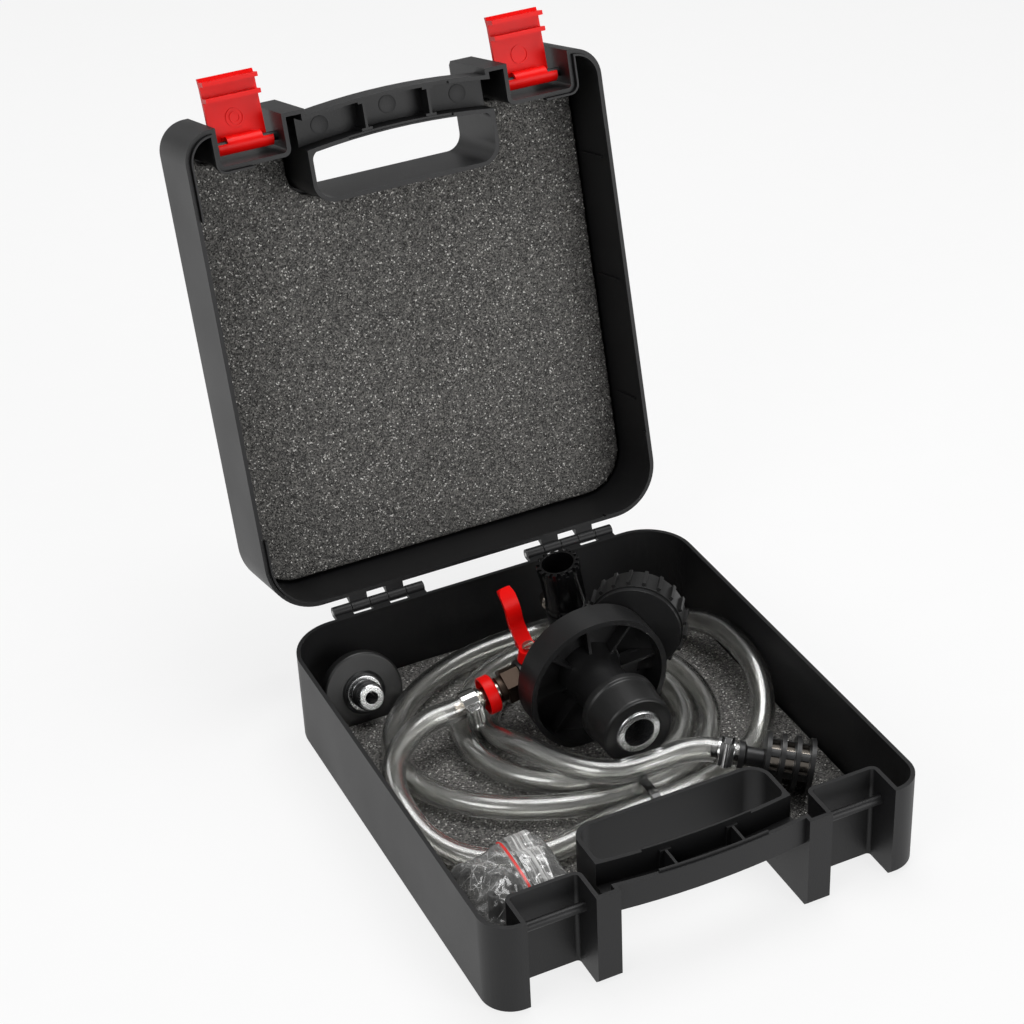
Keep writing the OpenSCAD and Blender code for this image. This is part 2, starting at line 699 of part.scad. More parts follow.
// Post with the needle's bearing, and the toothed quadrant's plate
module gauge_movement() {
  color("#c9a24a") on_gauge() translate([0, 0, -1.5]) difference() {
    union() {
      cylinder(r = 3.2, h = 6, $fn = 40);
      translate([-4, -9, 0]) cube([8, 18, 1.4]);
    }
    translate([0, 0, -1]) cylinder(r = 0.8 + run_gap, h = 9, $fn = 24);
  }
}

module gauge_stem() {
  color("#c9a24a") on_gauge() translate([-17.5, 0, stem_level]) leftward() pipe(stem_r, 1.5, 15);
}

// Ball valve beside the head
module valve_body() {
  color("#161616") on_head() difference() {
    union() {
      translate([-13, valve_y, 0]) leftward() cylinder(r = 10.8, h = 20);
      translate([stem_x, stem_y, 0]) cylinder(r = valve_neck_r, h = valve_neck_top);
      translate([-12, valve_y, 0]) leftward() cylinder(r = 9.5, h = 4);
    }
    translate([-11, valve_y, 0]) leftward() cylinder(r = 5, h = 30);
    translate([stem_x, valve_y, 0]) leftward() translate([0, 0, -8]) cylinder(r = 8.2, h = 30);
    translate([stem_x, stem_y, 0]) cylinder(r = 3 + run_gap, h = 20, $fn = 32);
  }
}

module valve_ball() {
  color("#c8c8c8") on_head() difference() {
    translate([stem_x, stem_y, 0]) sphere(r = 6.8);
    translate([stem_x + 10, stem_y, 0]) leftward() cylinder(r = 3.4, h = 20, $fn = 32);
    translate([stem_x - 1, stem_y - 10, 5.2]) cube([2, 20, 4]);
  }
}

module valve_seats() {
  color("#e8e8e4") on_head() for (s = [-1, 1])
    translate([stem_x + s * 6.2, valve_y, 0]) leftward() translate([0, 0, s > 0 ? -1.4 : 0])
      pipe(8.15, 4.6, 1.4);
}

module valve_stem() {
  color("#c9a24a") on_head() translate([stem_x, stem_y, 0]) {
    translate([0, 0, 7]) cylinder(r = 3, h = valve_neck_top - 6.5, $fn = 32);
    translate([-0.95, -2.7, 5.3]) cube([1.9, 5.4, 2.5]);
    translate([-2, -2, valve_neck_top]) cube([4, 4, 4]);
  }
}

// Red lever: flared hub over the valve's neck on the stem's square, and a curved arm leaning back
lever_z = valve_neck_top + 0.7;
lever_t = 3;
arm_w = 8.4;
arm_half = 1.5;
arm_top = 32.4;
hub_skirt = 3.4;
hub_r = 7.4;
function arm_mid(t) = [6 + 13 * t + 2.6 * sin(360 * t), 3 + 28.5 * t];
function arm_dir(t) = unit([13 + 2.6 * 2 * PI * cos(360 * t), 28.5]);
function arm_side(t, d) = arm_mid(t) + d * [arm_dir(t)[1], -arm_dir(t)[0]];
module valve_lever() {
  color("#d81a1e") on_head() translate([stem_x, stem_y, lever_z]) {
    difference() {
      union() {
        translate([0, 0, -hub_skirt]) cylinder(r1 = hub_r, r2 = hub_r - 2, h = hub_skirt + lever_t);
        translate([-arm_w / 2, 0, 0]) cube([arm_w, 9, lever_t]);
        intersection() {
          translate([-arm_w / 2, 0, 0]) rotate([90, 0, 90]) linear_extrude(arm_w) polygon(concat(
            [[lever_t, 0.2]], [for (i = [0:12]) arm_side(i / 12, arm_half)],
            [for (i = [12:-1:0]) arm_side(i / 12, -arm_half)], [[lever_t, 2.8]]));
          translate([0, arm_top, 0]) rotate([90, 0, 0]) linear_extrude(2 * arm_top)
            soft_rect(arm_w / 2, -1, arm_top, 0.5, 3.6);
        }
      }
      translate([-2 - fit_gap, -2 - fit_gap, -1]) cube([4 + 2 * fit_gap, 4 + 2 * fit_gap, 5]);
      translate([0, 0, -hub_skirt - 1]) cylinder(r = valve_neck_r + 0.5, h = hub_skirt + 1);
      translate([-arm_half, -hub_r - 1, -hub_skirt - 1]) cube([2 * arm_half, 4, 3]);
    }
  }
}

module lever_screw() {
  color("#c8c8c8") on_head() translate([stem_x, stem_y, valve_neck_top + 4]) difference() {
    cylinder(r = 3.4, h = 1.8, $fn = 32);
    translate([-4, -0.5, 1]) cube([8, 1, 2]);
  }
}

module hex_nipple() {
  color("#a79a8c") on_head() translate([0, valve_y, 0]) leftward() difference() {
    union() {
      translate([0, 0, 31.7]) cylinder(r = 8, h = 2);
      translate([0, 0, 33]) cylinder(r = 10, h = 10, $fn = 6);
      translate([0, 0, 42]) cylinder(r = 7, h = 4);
    }
    translate([0, 0, 30]) cylinder(r = 3, h = 20, $fn = 32);
  }
}

// Red plastic collar with a thin skirt, seated on the barb's neck
module red_collar() {
  color("#d81a1e") on_head() translate([-48.2, valve_y, 0]) leftward() rotate_extrude()
    polygon([[5.2, 0], [9.6, 0], [10.5, 0.9], [10.5, 6.6], [9.2, 6.6], [9.2, 2], [5.2, 2]]);
}

module head_barb() {
  color("#b8b0a6") on_head() translate([0, valve_y, 0]) leftward() rotate_extrude($fn = 48)
    polygon([[2.8, 46], [5.2 - fit_gap, 46], [5.2 - fit_gap, -barb_x], [3.9, -barb_x], [3.9, 62], [3.5, 63],
      [3.9, 67], [3.5, 68], [3.9, 71], [3.4, 72], [2.8, 72]]);
}

// Worm drive hose clamp: band and screw housing
module clamp_band(inner) {
  difference() {
    union() {
      cylinder(r = inner + 0.9, h = 8.5);
      translate([-5.5, inner + 0.2, 0.6]) cube([11, 4.6, 7.3]);
    }
    translate([0, 0, -1]) cylinder(r = inner, h = 11);
    translate([-7, inner + 3.2, 4.25]) sideward() cylinder(r = 2.2, h = 14, $fn = 24);
  }
}

module clamp_worm(inner) {
  translate([-6.5, inner + 3.2, 4.25]) sideward() cylinder(r = 2.2 - fit_gap, h = 12.5, $fn = 24);
  translate([6, inner + 3.2, 4.25]) sideward() cylinder(r = 3.4, h = 3.4, $fn = 6);
}

module on_head_clamp() {
  on_head() translate([barb_x - 2, valve_y, 0]) leftward() rotate(172) children();
}

module head_clamp() {
  color("#c4c4c4") on_head_clamp() clamp_band(hose_r + run_gap);
}

module head_clamp_screw() {
  color("#d0d0d0") on_head_clamp() clamp_worm(hose_r + run_gap);
}

module on_tail_clamp() {
  on_strainer() translate([0, 0, -11]) rotate(150) children();
}

module tail_clamp() {
  color("#c4c4c4") on_tail_clamp() clamp_band(hose_r + run_gap);
}

module tail_clamp_screw() {
  color("#d0d0d0") on_tail_clamp() clamp_worm(hose_r + run_gap);
}

// Clear hose in three stretches: the lead from the head, the coil and the tail to the strainer
module hose_lead() {
  color("#c9c9c2", 0.6) tube_solid(lead_path, lead_sides, hose_r, hose_bore / 2);
}

module hose_coil() {
  color("#c9c9c2", 0.6) tube_solid(coil_path, coil_sides, hose_r, hose_bore / 2);
}

module hose_tail() {
  color("#c9c9c2", 0.6) tube_solid(tail_path, lead_sides, hose_r, hose_bore / 2);
}

// Cable tie round the two front strands
tie_x = 12;
tie_w = 4.6;
tie_t = 1.1;
tie_y0 = turn_front[0];
tie_y1 = turn_front[1];
module tie_plan(r) {
  translate([tie_y0, floor_z]) circle(r = r);
  translate([tie_y1, floor_z]) circle(r = r);
  translate([tie_y0, floor_z - r]) square([tie_y1 - tie_y0, 2 * r]);
}

module cable_tie() {
  color("#0c0c0c") translate([tie_x - tie_w / 2, 0, 0]) rotate([90, 0, 90]) {
    linear_extrude(tie_w) difference() {
      tie_plan(hose_r + 0.3 + tie_t);
      tie_plan(hose_r + 0.3);
    }
    translate([tie_y0 - hose_r - 4.2, floor_z - 3.5, -1]) linear_extrude(tie_w + 2) square([4, 7]);
  }
}

// Strainer: barbed stem in the hose, finned cage and screen
module strainer_stem() {
  color("#141414") on_strainer() rotate_extrude($fn = 48)
    polygon([[2.8, -14], [3.4, -14], [3.9, -12.5], [3.5, -9], [3.9, -8], [3.9, 0], [7, 0], [7, 3], [5, 4],
      [5, 13], [2.8, 13]]);
}

cage_r = 14.6;
module strainer_cage() {
  color("#121212") on_strainer() translate([0, 0, 13]) difference() {
    union() {
      for (k = [0:3])
        translate([0, 0, 7.6 * k]) cylinder(r = cage_r, h = 2.4);
      cylinder(r = 11, h = 25);
    }
    translate([0, 0, 2.4]) cylinder(r = 9.2, h = 30);
    translate([0, 0, -1]) cylinder(r = 2.8, h = 5, $fn = 32);
    for (k = [0:2], a = [0:5])
      rotate(60 * a) translate([8, -3.6, 7.6 * k + 2.8]) cube([8, 7.2, 4.4]);
  }
}

module strainer_screen() {
  color("#b5b5b5") on_strainer() translate([0, 0, 13 + 2.4]) pipe(9.2 - fit_gap, 8.4, 22);
}

// Radiator neck adapter: rubber disc with an aluminium nozzle and two sealing rings
adapter_r = 22.5;
adapter_t = 8;
module on_adapter() {
  translate([left_x + 33, back_y - 32, foam_top + 13.6]) rotate([70, 0, 0]) children();
}

module adapter_disc() {
  color("#1b1b1b") on_adapter() translate([0, 0, -adapter_t]) rotate_extrude()
    polygon([[5 + fit_gap, 0], [adapter_r - 1.5, 0], [adapter_r, 1.5], [adapter_r, adapter_t - 1],
      [adapter_r - 1, adapter_t],
      [12, adapter_t], [11, adapter_t - 1], [5 + fit_gap, adapter_t - 1]]);
}

module adapter_nozzle() {
  color("#b9bcc0") on_adapter() rotate_extrude($fn = 48)
    polygon([[3.5, -adapter_t], [5, -adapter_t], [5, -1], [9.75, -1], [9.75, 1.6], [7.3, 1.6], [7.3, 3],
      [6.2, 3], [6.2, 5], [7.3, 5], [7.3, 6.6], [6.2, 6.6], [6.2, 8.6], [7.3, 8.6], [7.3, 11.4], [6.6, 12.2],
      [3.5, 12.2]]);
}

module adapter_o_rings() {
  color("#0a0a0a") on_adapter() for (z = [4, 7.6])
    translate([0, 0, z]) rotate_extrude($fn = 48) translate([7.15, 0]) circle(r = 0.93, $fn = 24);
}

// Clear zip bag behind the left pocket, a hollow pillow with its zip strip along the crown and the cones inside
bag_side = 9.5;
bag_margin = 16.3;
bag_w = case_w / 2 - finger_half - bag_margin;
bag_l = 50;
bag_t = 34;
bag_n = 10;
bag_hem = 6;
bag_film = 1;
zip_w = 3;
zip_t = 1.4;
zip_l = 42;
zip_x = 1;
cone_pitch = 0.21 * bag_w;
cone_r = 0.092 * bag_w;
cone_tip = 1;
cone_lift = 3.2;
cone_h = bag_t / 2;
cone_bore = cone_r / 2;
module on_bag() {
  translate([left_x + bag_side + bag_w / 2, front_y + 48, foam_top + 18.6]) rotate([4, -5, 0]) children();
}

function pillow_z(u, v, t) = t * pow(max(0, (1 - pow(u, 4)) * (1 - pow(v, 4))), 0.6);
module pillow(w, l, t, edge) {
  m = bag_n + 1;
  grid = [for (i = [0:bag_n], j = [0:bag_n]) [2 * i / bag_n - 1, 2 * j / bag_n - 1]];
  upper = [for (g = grid) [g[0] * w / 2, g[1] * l / 2, edge + pillow_z(g[0], g[1], t / 2)]];
  lower = [for (g = grid) [g[0] * w / 2, g[1] * l / 2, -edge - pillow_z(g[0], g[1], t / 2)]];
  low = m * m;
  cells = [for (i = [0:bag_n - 1], j = [0:bag_n - 1]) let (a = i * m + j, b = a + m)
    each [[a, a + 1, b + 1], [a, b + 1, b], [low + a, low + b + 1, low + a + 1],
      [low + a, low + b, low + b + 1]]];
  rims = [for (k = [0:bag_n - 1]) each concat(wall_pair(k, k + 1, low),
    wall_pair(bag_n * m + k + 1, bag_n * m + k, low),
    wall_pair((k + 1) * m, k * m, low), wall_pair(k * m + bag_n, (k + 1) * m + bag_n, low))];
  polyhedron(concat(upper, lower), concat(cells, rims), convexity = 4);
}
function wall_pair(a, b, low) = [[b, a, low + a], [b, low + a, low + b]];

module zip_bag() {
  color("#e6e6e2", 0.3) on_bag() difference() {
    pillow(bag_w, bag_l, bag_t, bag_film / 2);
    pillow(bag_w - bag_hem, bag_l - bag_hem, bag_t - 2 * bag_film, bag_film / 5);
  }
}

module zip_strip() {
  color("#c8262b") on_bag() intersection() {
    difference() {
      pillow(bag_w, bag_l, bag_t + 2 * (loose_gap + zip_t), bag_film / 2);
      pillow(bag_w, bag_l, bag_t + 2 * loose_gap, bag_film / 2);
    }
    translate([zip_x - zip_w / 2, -zip_l / 2, 0]) cube([zip_w, zip_l, bag_t]);
  }
}

module filler_cones() {
  color("#161616") on_bag() for (k = [-1:1])
    translate([cone_pitch * k, 0, cone_lift * abs(k) - bag_t / 2 + bag_film + loose_gap]) difference() {
      cylinder(r1 = cone_r, r2 = cone_r - cone_tip, h = cone_h);
      translate([0, 0, -1]) cylinder(r = cone_bore, h = cone_h + 2, $fn = 24);
    }
}

tray_shell();
lid_shell();
hinge_pins();
tray_foam();
lid_foam();
left_latch();
right_latch();
head_housing();
stopper_rubber();
stopper_core();
manifold();
venturi_body();
venturi_nozzle();
muffler_tube();
air_nipple();
gauge_case();
gauge_bezel();
gauge_lens();
gauge_dial();
gauge_needle();
bourdon_tube();
gauge_movement();
gauge_stem();
valve_body();
valve_ball();
valve_seats();
valve_stem();
valve_lever();
lever_screw();
hex_nipple();
red_collar();
head_barb();
head_clamp();
head_clamp_screw();
hose_lead();
hose_coil();
hose_tail();
tail_clamp();
tail_clamp_screw();
cable_tie();
strainer_stem();
strainer_cage();
strainer_screen();
adapter_disc();
adapter_nozzle();
adapter_o_rings();
zip_bag();
zip_strip();
filler_cones();
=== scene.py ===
import json
import math

import bmesh
import bpy
from mathutils import Matrix, Vector

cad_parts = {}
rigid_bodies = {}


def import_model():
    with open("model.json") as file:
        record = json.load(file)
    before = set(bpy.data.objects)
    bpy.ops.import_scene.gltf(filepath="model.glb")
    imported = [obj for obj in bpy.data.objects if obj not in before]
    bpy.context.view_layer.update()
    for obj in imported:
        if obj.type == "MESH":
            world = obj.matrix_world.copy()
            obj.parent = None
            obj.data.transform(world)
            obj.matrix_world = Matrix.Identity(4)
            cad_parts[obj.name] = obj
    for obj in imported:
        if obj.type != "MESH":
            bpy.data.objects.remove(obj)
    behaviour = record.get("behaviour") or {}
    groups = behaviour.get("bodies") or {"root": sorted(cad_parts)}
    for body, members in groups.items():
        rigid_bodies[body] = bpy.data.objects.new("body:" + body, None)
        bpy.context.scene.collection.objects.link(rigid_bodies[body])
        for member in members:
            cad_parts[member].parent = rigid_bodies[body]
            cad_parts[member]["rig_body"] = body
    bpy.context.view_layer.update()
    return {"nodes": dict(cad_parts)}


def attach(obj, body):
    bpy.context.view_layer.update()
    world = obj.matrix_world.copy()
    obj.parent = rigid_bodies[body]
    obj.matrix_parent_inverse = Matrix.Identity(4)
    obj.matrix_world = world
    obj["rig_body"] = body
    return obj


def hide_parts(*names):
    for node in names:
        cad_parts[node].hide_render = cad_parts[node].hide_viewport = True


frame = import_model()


# Camera: a studio camera with a short telephoto lens, at the eye height of a person who stands at a bench.
# It looks down into the open case from its left front corner.
def new_object(name, data):
    """A new object of the scene, at the origin."""
    thing = bpy.data.objects.new(name, data)
    bpy.context.scene.collection.objects.link(thing)
    return thing


camera_at = (-0.427546, -0.869021, 0.800000)
camera_axes = Matrix(((0.900844, -0.432310, -0.039862),
                      (0.265332, 0.475561, 0.838714),
                      (-0.343627, -0.766127, 0.543111)))
camera_data = bpy.data.cameras.new("photo_camera")
camera_data.lens = 83.4735
camera_data.sensor_width = 36.0
camera_data.clip_end = 30.0
camera = new_object("photo_camera", camera_data)
camera.matrix_world = Matrix.Translation(camera_at) @ camera_axes.transposed().to_4x4()
bpy.context.scene.camera = camera
bpy.context.scene.view_settings.view_transform = "Standard"


# Studio: a pale seamless paper floor under four soft boxes, white as far as the camera and reflections see.
# The floor still takes a faint shadow from the object.
def linear(code):
    """The linear colour of an sRGB hex value."""
    parts = [int(code[i:i + 2], 16) / 255 for i in (1, 3, 5)]
    return tuple(c / 12.92 if c <= 0.04045 else ((c + 0.055) / 1.055) ** 2.4 for c in parts) + (1.0,)


def add_node(tree, kind, sockets=None, **settings):
    """Adds one shader node; a socket takes a value, or another node's output to be linked to it."""
    node = tree.nodes.new(kind)
    for name, value in settings.items():
        setattr(node, name, value)
    for name, value in (sockets or {}).items():
        if isinstance(value, bpy.types.NodeSocket):
            tree.links.new(value, node.inputs[name])
        else:
            node.inputs[name].default_value = value
    return node


def start_material(name):
    """A new material with an empty tree: its tree, the object coordinates and the surface socket."""
    material = bpy.data.materials.new(name)
    material.use_nodes = True
    tree = material.node_tree
    tree.nodes.clear()
    output = add_node(tree, "ShaderNodeOutputMaterial")
    place = add_node(tree, "ShaderNodeTexCoord")
    return material, tree, place.outputs["Object"], output.inputs["Surface"]


floor_gap = 0.0004
white_share = 0.8
ambient = 0.20
bpy.ops.object.select_all(action="DESELECT")
bpy.ops.mesh.primitive_plane_add(size=12.0, location=(0, 0, -floor_gap))
floor = bpy.context.object
floor.name = "floor"
floor_white, tree, place, surface = start_material("seamless_paper")
tooth = add_node(tree, "ShaderNodeTexNoise", {"Vector": place, "Scale": 1 / 0.025})
paper_tone = add_node(tree, "ShaderNodeMapRange", {
    "Value": tooth.outputs["Fac"], "To Min": 0.80, "To Max": 0.84})
paper = add_node(tree, "ShaderNodeBsdfDiffuse", {"Color": paper_tone.outputs["Result"]})
white = add_node(tree, "ShaderNodeEmission", {"Color": (1, 1, 1, 1), "Strength": 1.0})
sight = add_node(tree, "ShaderNodeLightPath")
seen = add_node(tree, "ShaderNodeMath", {
    0: sight.outputs["Is Camera Ray"], 1: sight.outputs["Is Glossy Ray"]}, operation="MAXIMUM")
seen_through = add_node(tree, "ShaderNodeMath", {
    0: seen.outputs[0], 1: sight.outputs["Is Transmission Ray"]}, operation="MAXIMUM")
share = add_node(tree, "ShaderNodeMath", {0: seen_through.outputs[0], 1: white_share}, operation="MULTIPLY")
mixed = add_node(tree, "ShaderNodeMixShader", {0: share.outputs[0], 1: paper.outputs[0], 2: white.outputs[0]})
tree.links.new(mixed.outputs[0], surface)
floor.data.materials.append(floor_white)

studio = bpy.data.worlds.new("studio")
bpy.context.scene.world = studio
studio.use_nodes = True
tree = studio.node_tree
tree.nodes.clear()
sight = add_node(tree, "ShaderNodeLightPath")
seen = add_node(tree, "ShaderNodeMath", {
    0: sight.outputs["Is Camera Ray"], 1: sight.outputs["Is Transmission Ray"]}, operation="MAXIMUM")
level = add_node(tree, "ShaderNodeMapRange", {"Value": seen.outputs[0], "To Min": ambient, "To Max": 1.0})
sky = add_node(tree, "ShaderNodeBackground", {"Color": (1, 1, 1, 1), "Strength": level.outputs["Result"]})
add_node(tree, "ShaderNodeOutputWorld", {"Surface": sky.outputs[0]})

for name, spot, aim, size, power in (
        ("key_box", (-1.3, -0.7, 1.2), (0, 0, 0.1), 1.0, 9.0),
        ("top_box", (0.3, 0.25, 1.5), (0, 0, 0.05), 1.05, 14.5),
        ("front_box", (0.75, -1.55, 0.6), (0, 0.1, 0.15), 1.1, 15.0),
        ("rear_box", (-0.5, 1.4, 1.2), (0, 0, 0.2), 0.9, 4.0)):
    lamp_data = bpy.data.lights.new(name, "AREA")
    lamp_data.shape = "DISK"
    lamp_data.size = size
    lamp_data.energy = power
    lamp = new_object(name, lamp_data)
    lamp.location = spot
    lamp.rotation_euler = (Vector(aim) - Vector(spot)).to_track_quat("-Z", "Y").to_euler()


# Hose: one length of extruded clear PVC, 13 mm outside and 8.6 mm inside, wound flat in the tray.
# It is pushed on the head's barb and on the strainer's stem, each under a worm drive clamp.
# The route repeats the one in the part's source: a lead, three turns that get smaller, and a tail.
hose_r = 0.0065
hose_wall = 0.0022
turn_mid = (0.009, 0.014, 0.014)
turn_half = (0.099, 0.065, 0.0512)
turn_back = (0.1143, 0.0988, 0.085)
turn_front = (-0.0478, -0.034, -0.0186)
turn_count = 3
turn_knots = 72
step_at = (0.75, 1.75)
step_run = 0.5
floor_z = 0.0187
wall_square = 0.8
wall_rise, rise_at, fall_at, rise_run = 0.015, 0.11, 0.25, 0.14
pile_y, side_at, side_run = -0.0343, 2.76, 0.2
pile_z, climb_at, climb_run = 0.0333, 2.69, 0.15
grip = 0.016
joint_run = 0.004
line_knots = 6
head_at = Vector((0.0176, 0.0214, 0.0462))
barb_at = Vector((-0.057, 0.030, 0))
head_turn = Matrix.Rotation(math.radians(-1), 3, "Z") @ Matrix.Rotation(math.radians(-9.5), 3, "Y")
strainer_at = Vector((0.0603, -0.0486, 0.033))
strainer_turn = Matrix.Rotation(math.radians(-32), 3, "Z") @ Matrix.Rotation(math.radians(99.5), 3, "Y")


def ease(x):
    """A soft step from 0 to 1."""
    t = max(0.0, min(1.0, x))
    return t * t * (3 - 2 * t)


def by_turn(v, s):
    """The value for the turn that s is in, with soft steps between the turns."""
    return (v[0] + (v[1] - v[0]) * ease((s - step_at[0]) / step_run)
            + (v[2] - v[1]) * ease((s - step_at[1]) / step_run))


def squared(v, s):
    """The half turn along the right wall is squared off."""
    return math.copysign(abs(v) ** wall_square, v) if s < 0.5 else v


def coil_point(s):
    """The point of the coil's middle line after s turns."""
    front = (turn_front[0] + (turn_front[1] - turn_front[0]) * min(s, 1)
             + (turn_front[2] - turn_front[1]) * min(max(s - 1, 0), 1)
             + (pile_y - turn_front[2]) * ease((s - side_at) / side_run))
    back = by_turn(turn_back, s)
    z = (floor_z + wall_rise * (ease((s - rise_at) / rise_run) - ease((s - fall_at) / rise_run))
         + (pile_z - floor_z) * ease((s - climb_at) / climb_run))
    turn = 2 * math.pi * s
    return Vector((by_turn(turn_mid, s) + by_turn(turn_half, s) * squared(math.sin(turn), s),
                   (front + back) / 2 - (back - front) / 2 * squared(math.cos(turn), s), z))


def smooth_line(points):
    """A smooth curve through given points."""
    line = []
    for i in range(len(points) - 1):
        a, b, c, d = (points[max(0, min(k, len(points) - 1))] for k in (i - 1, i, i + 1, i + 2))
        for k in range(line_knots):
            t = k / line_knots
            bend = (2 * a - 5 * b + 4 * c - d) / 2 + t * (3 * b - a - 3 * c + d) / 2
            line.append(b + t * ((c - a) / 2 + t * bend))
    return line + [points[-1]]


def only(piece):
    """Makes a piece the one selected and active object."""
    bpy.ops.object.select_all(action="DESELECT")
    piece.select_set(True)
    bpy.context.view_layer.objects.active = piece


run = Vector((joint_run, 0, 0))
coil_in = coil_point(0) - run
coil_out = coil_point(turn_count) + run
head_axis = head_turn @ Vector((-1, 0, 0))
lead_start = head_at + head_turn @ barb_at
lead_route = [Vector(p) / 1000 for p in (
    (-69, 50.9, 34.2), (-84, 43, 33.6), (-96, 30.9, 33), (-103.6, 15.4, 32), (-106, -1.6, 29.5),
    (-102, -23, 24), (-91, -39.8, 20.5), (-74.5, -50.9, 19.2), (-55, -54.7, 18.9), (-35, -53.4, 18.8),
    (-14.4, -49.6, 18.7))]
tail_axis = strainer_turn @ Vector((0, 0, 1))
tail_bend = Vector((0.037, -0.0354, 0.0348))
hose_points = ([lead_start, lead_start + grip / 2 * head_axis]
               + smooth_line([lead_start + grip * head_axis] + lead_route + [coil_in - run])
               + [coil_in] + [coil_point(i / turn_knots) for i in range(turn_count * turn_knots + 1)]
               + [coil_out] + smooth_line([coil_out + run, tail_bend, strainer_at - grip * tail_axis])
               + [strainer_at - grip / 2 * tail_axis, strainer_at])
hose_curve = bpy.data.curves.new("hose", "CURVE")
hose_curve.dimensions = "3D"
hose_curve.bevel_depth = hose_r
hose_curve.bevel_resolution = 8
hose_line = hose_curve.splines.new("POLY")
hose_line.points.add(len(hose_points) - 1)
for knot, point in zip(hose_line.points, hose_points):
    knot.co = (*point, 1.0)
only(new_object("hose", hose_curve))
bpy.ops.object.convert(target="MESH")
hose = bpy.context.object
skin = hose.modifiers.new("wall", "SOLIDIFY")
skin.thickness = hose_wall
skin.offset = -1.0
bpy.ops.object.modifier_apply(modifier="wall")
bpy.ops.object.shade_smooth_by_angle(angle=math.radians(50))

# Plasticised PVC: clear with a faint haze in the wall, and a glossy skin with the waviness of extrusion,
# about 9 mm from crest to crest.
clear_pvc, tree, place, surface = start_material("clear_extruded_pvc")
wave = add_node(tree, "ShaderNodeTexNoise", {"Vector": place, "Scale": 1 / 0.009, "Detail": 2.0})
haze = add_node(tree, "ShaderNodeMapRange", {"Value": wave.outputs["Fac"], "To Min": 0.16, "To Max": 0.24})
ripple = add_node(tree, "ShaderNodeBump", {
    "Height": wave.outputs["Fac"], "Strength": 0.02, "Distance": 0.001})
shader = add_node(tree, "ShaderNodeBsdfPrincipled", {
    "Base Color": linear("#f6f6f3"), "Roughness": haze.outputs["Result"], "IOR": 1.53,
    "Transmission Weight": 1.0, "Coat Weight": 1.0, "Coat Roughness": 0.03,
    "Normal": ripple.outputs["Normal"]})
tree.links.new(shader.outputs[0], surface)
hose.data.materials.append(clear_pvc)
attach(hose, "tray")
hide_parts("hose_lead", "hose_coil", "hose_tail")


# Tray and lid: two halves moulded in black polypropylene with a fine spark eroded grain.
# The edges of the mould are broken by about half a millimetre, and the knuckles come with each half.
# A bevel runs round the closed face of each half, along its straight sides and its corners.
nodes = frame["nodes"]
merge_gap = 0.000002
flat_angle, smooth_angle, sharp_angle = 0.05, 32, 38
case_half = (0.118, 0.1325)
case_top = 0.1044
front_corner_r, back_corner_r = 0.016, 0.028
slope = 0.00256
spare = 0.001
corner_steps = 18
lid_pivot = Vector((0, 0.1387, 0.0547))
lid_swing = (Matrix.Translation(lid_pivot) @ Matrix.Rotation(math.radians(-104.4), 4, "X")
             @ Matrix.Translation(-lid_pivot))


def paint(piece, material):
    """Gives a piece one material."""
    piece.data.materials.clear()
    piece.data.materials.append(material)


def merged_copy(node, name, flats=None):
    """A copy of a node's mesh as a piece of its own, merged, and with whole flats where an angle is given."""
    piece = new_object(name, nodes[node].data.copy())
    only(piece)
    bpy.ops.object.mode_set(mode="EDIT")
    bpy.ops.mesh.select_all(action="SELECT")
    bpy.ops.mesh.remove_doubles(threshold=merge_gap)
    bpy.ops.mesh.customdata_custom_splitnormals_clear()
    if flats:
        bpy.ops.mesh.dissolve_limited(angle_limit=math.radians(flats))
    bpy.ops.object.mode_set(mode="OBJECT")
    return piece


def stand_for(piece, node, material):
    """Puts a finished piece in the place of a node, which it hides: on its body and with its material."""
    paint(piece, material)
    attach(piece, nodes[node]["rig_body"])
    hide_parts(node)


def broken_edges(node, name, width, material, cutter=None):
    """A copy of a node that stands for it, with its sharp edges bevelled and its flats kept level."""
    piece = merged_copy(node, name, flat_angle)
    if cutter:
        trim = piece.modifiers.new("trim", "BOOLEAN")
        trim.operation = "DIFFERENCE"
        trim.object = cutter
        bpy.ops.object.modifier_apply(modifier="trim")
        bpy.data.objects.remove(cutter)
    edge = piece.modifiers.new("edge", "BEVEL")
    edge.width = width
    edge.segments = 2
    edge.limit_method = "ANGLE"
    edge.angle_limit = math.radians(sharp_angle)
    edge.use_clamp_overlap = True
    edge.miter_outer = "MITER_ARC"
    bpy.ops.object.modifier_apply(modifier="edge")
    bpy.ops.object.shade_smooth_by_angle(angle=math.radians(smooth_angle))
    level = piece.modifiers.new("level", "WEIGHTED_NORMAL")
    level.keep_sharp = True
    level.weight = 100
    bpy.ops.object.modifier_apply(modifier="level")
    stand_for(piece, node, material)
    return piece


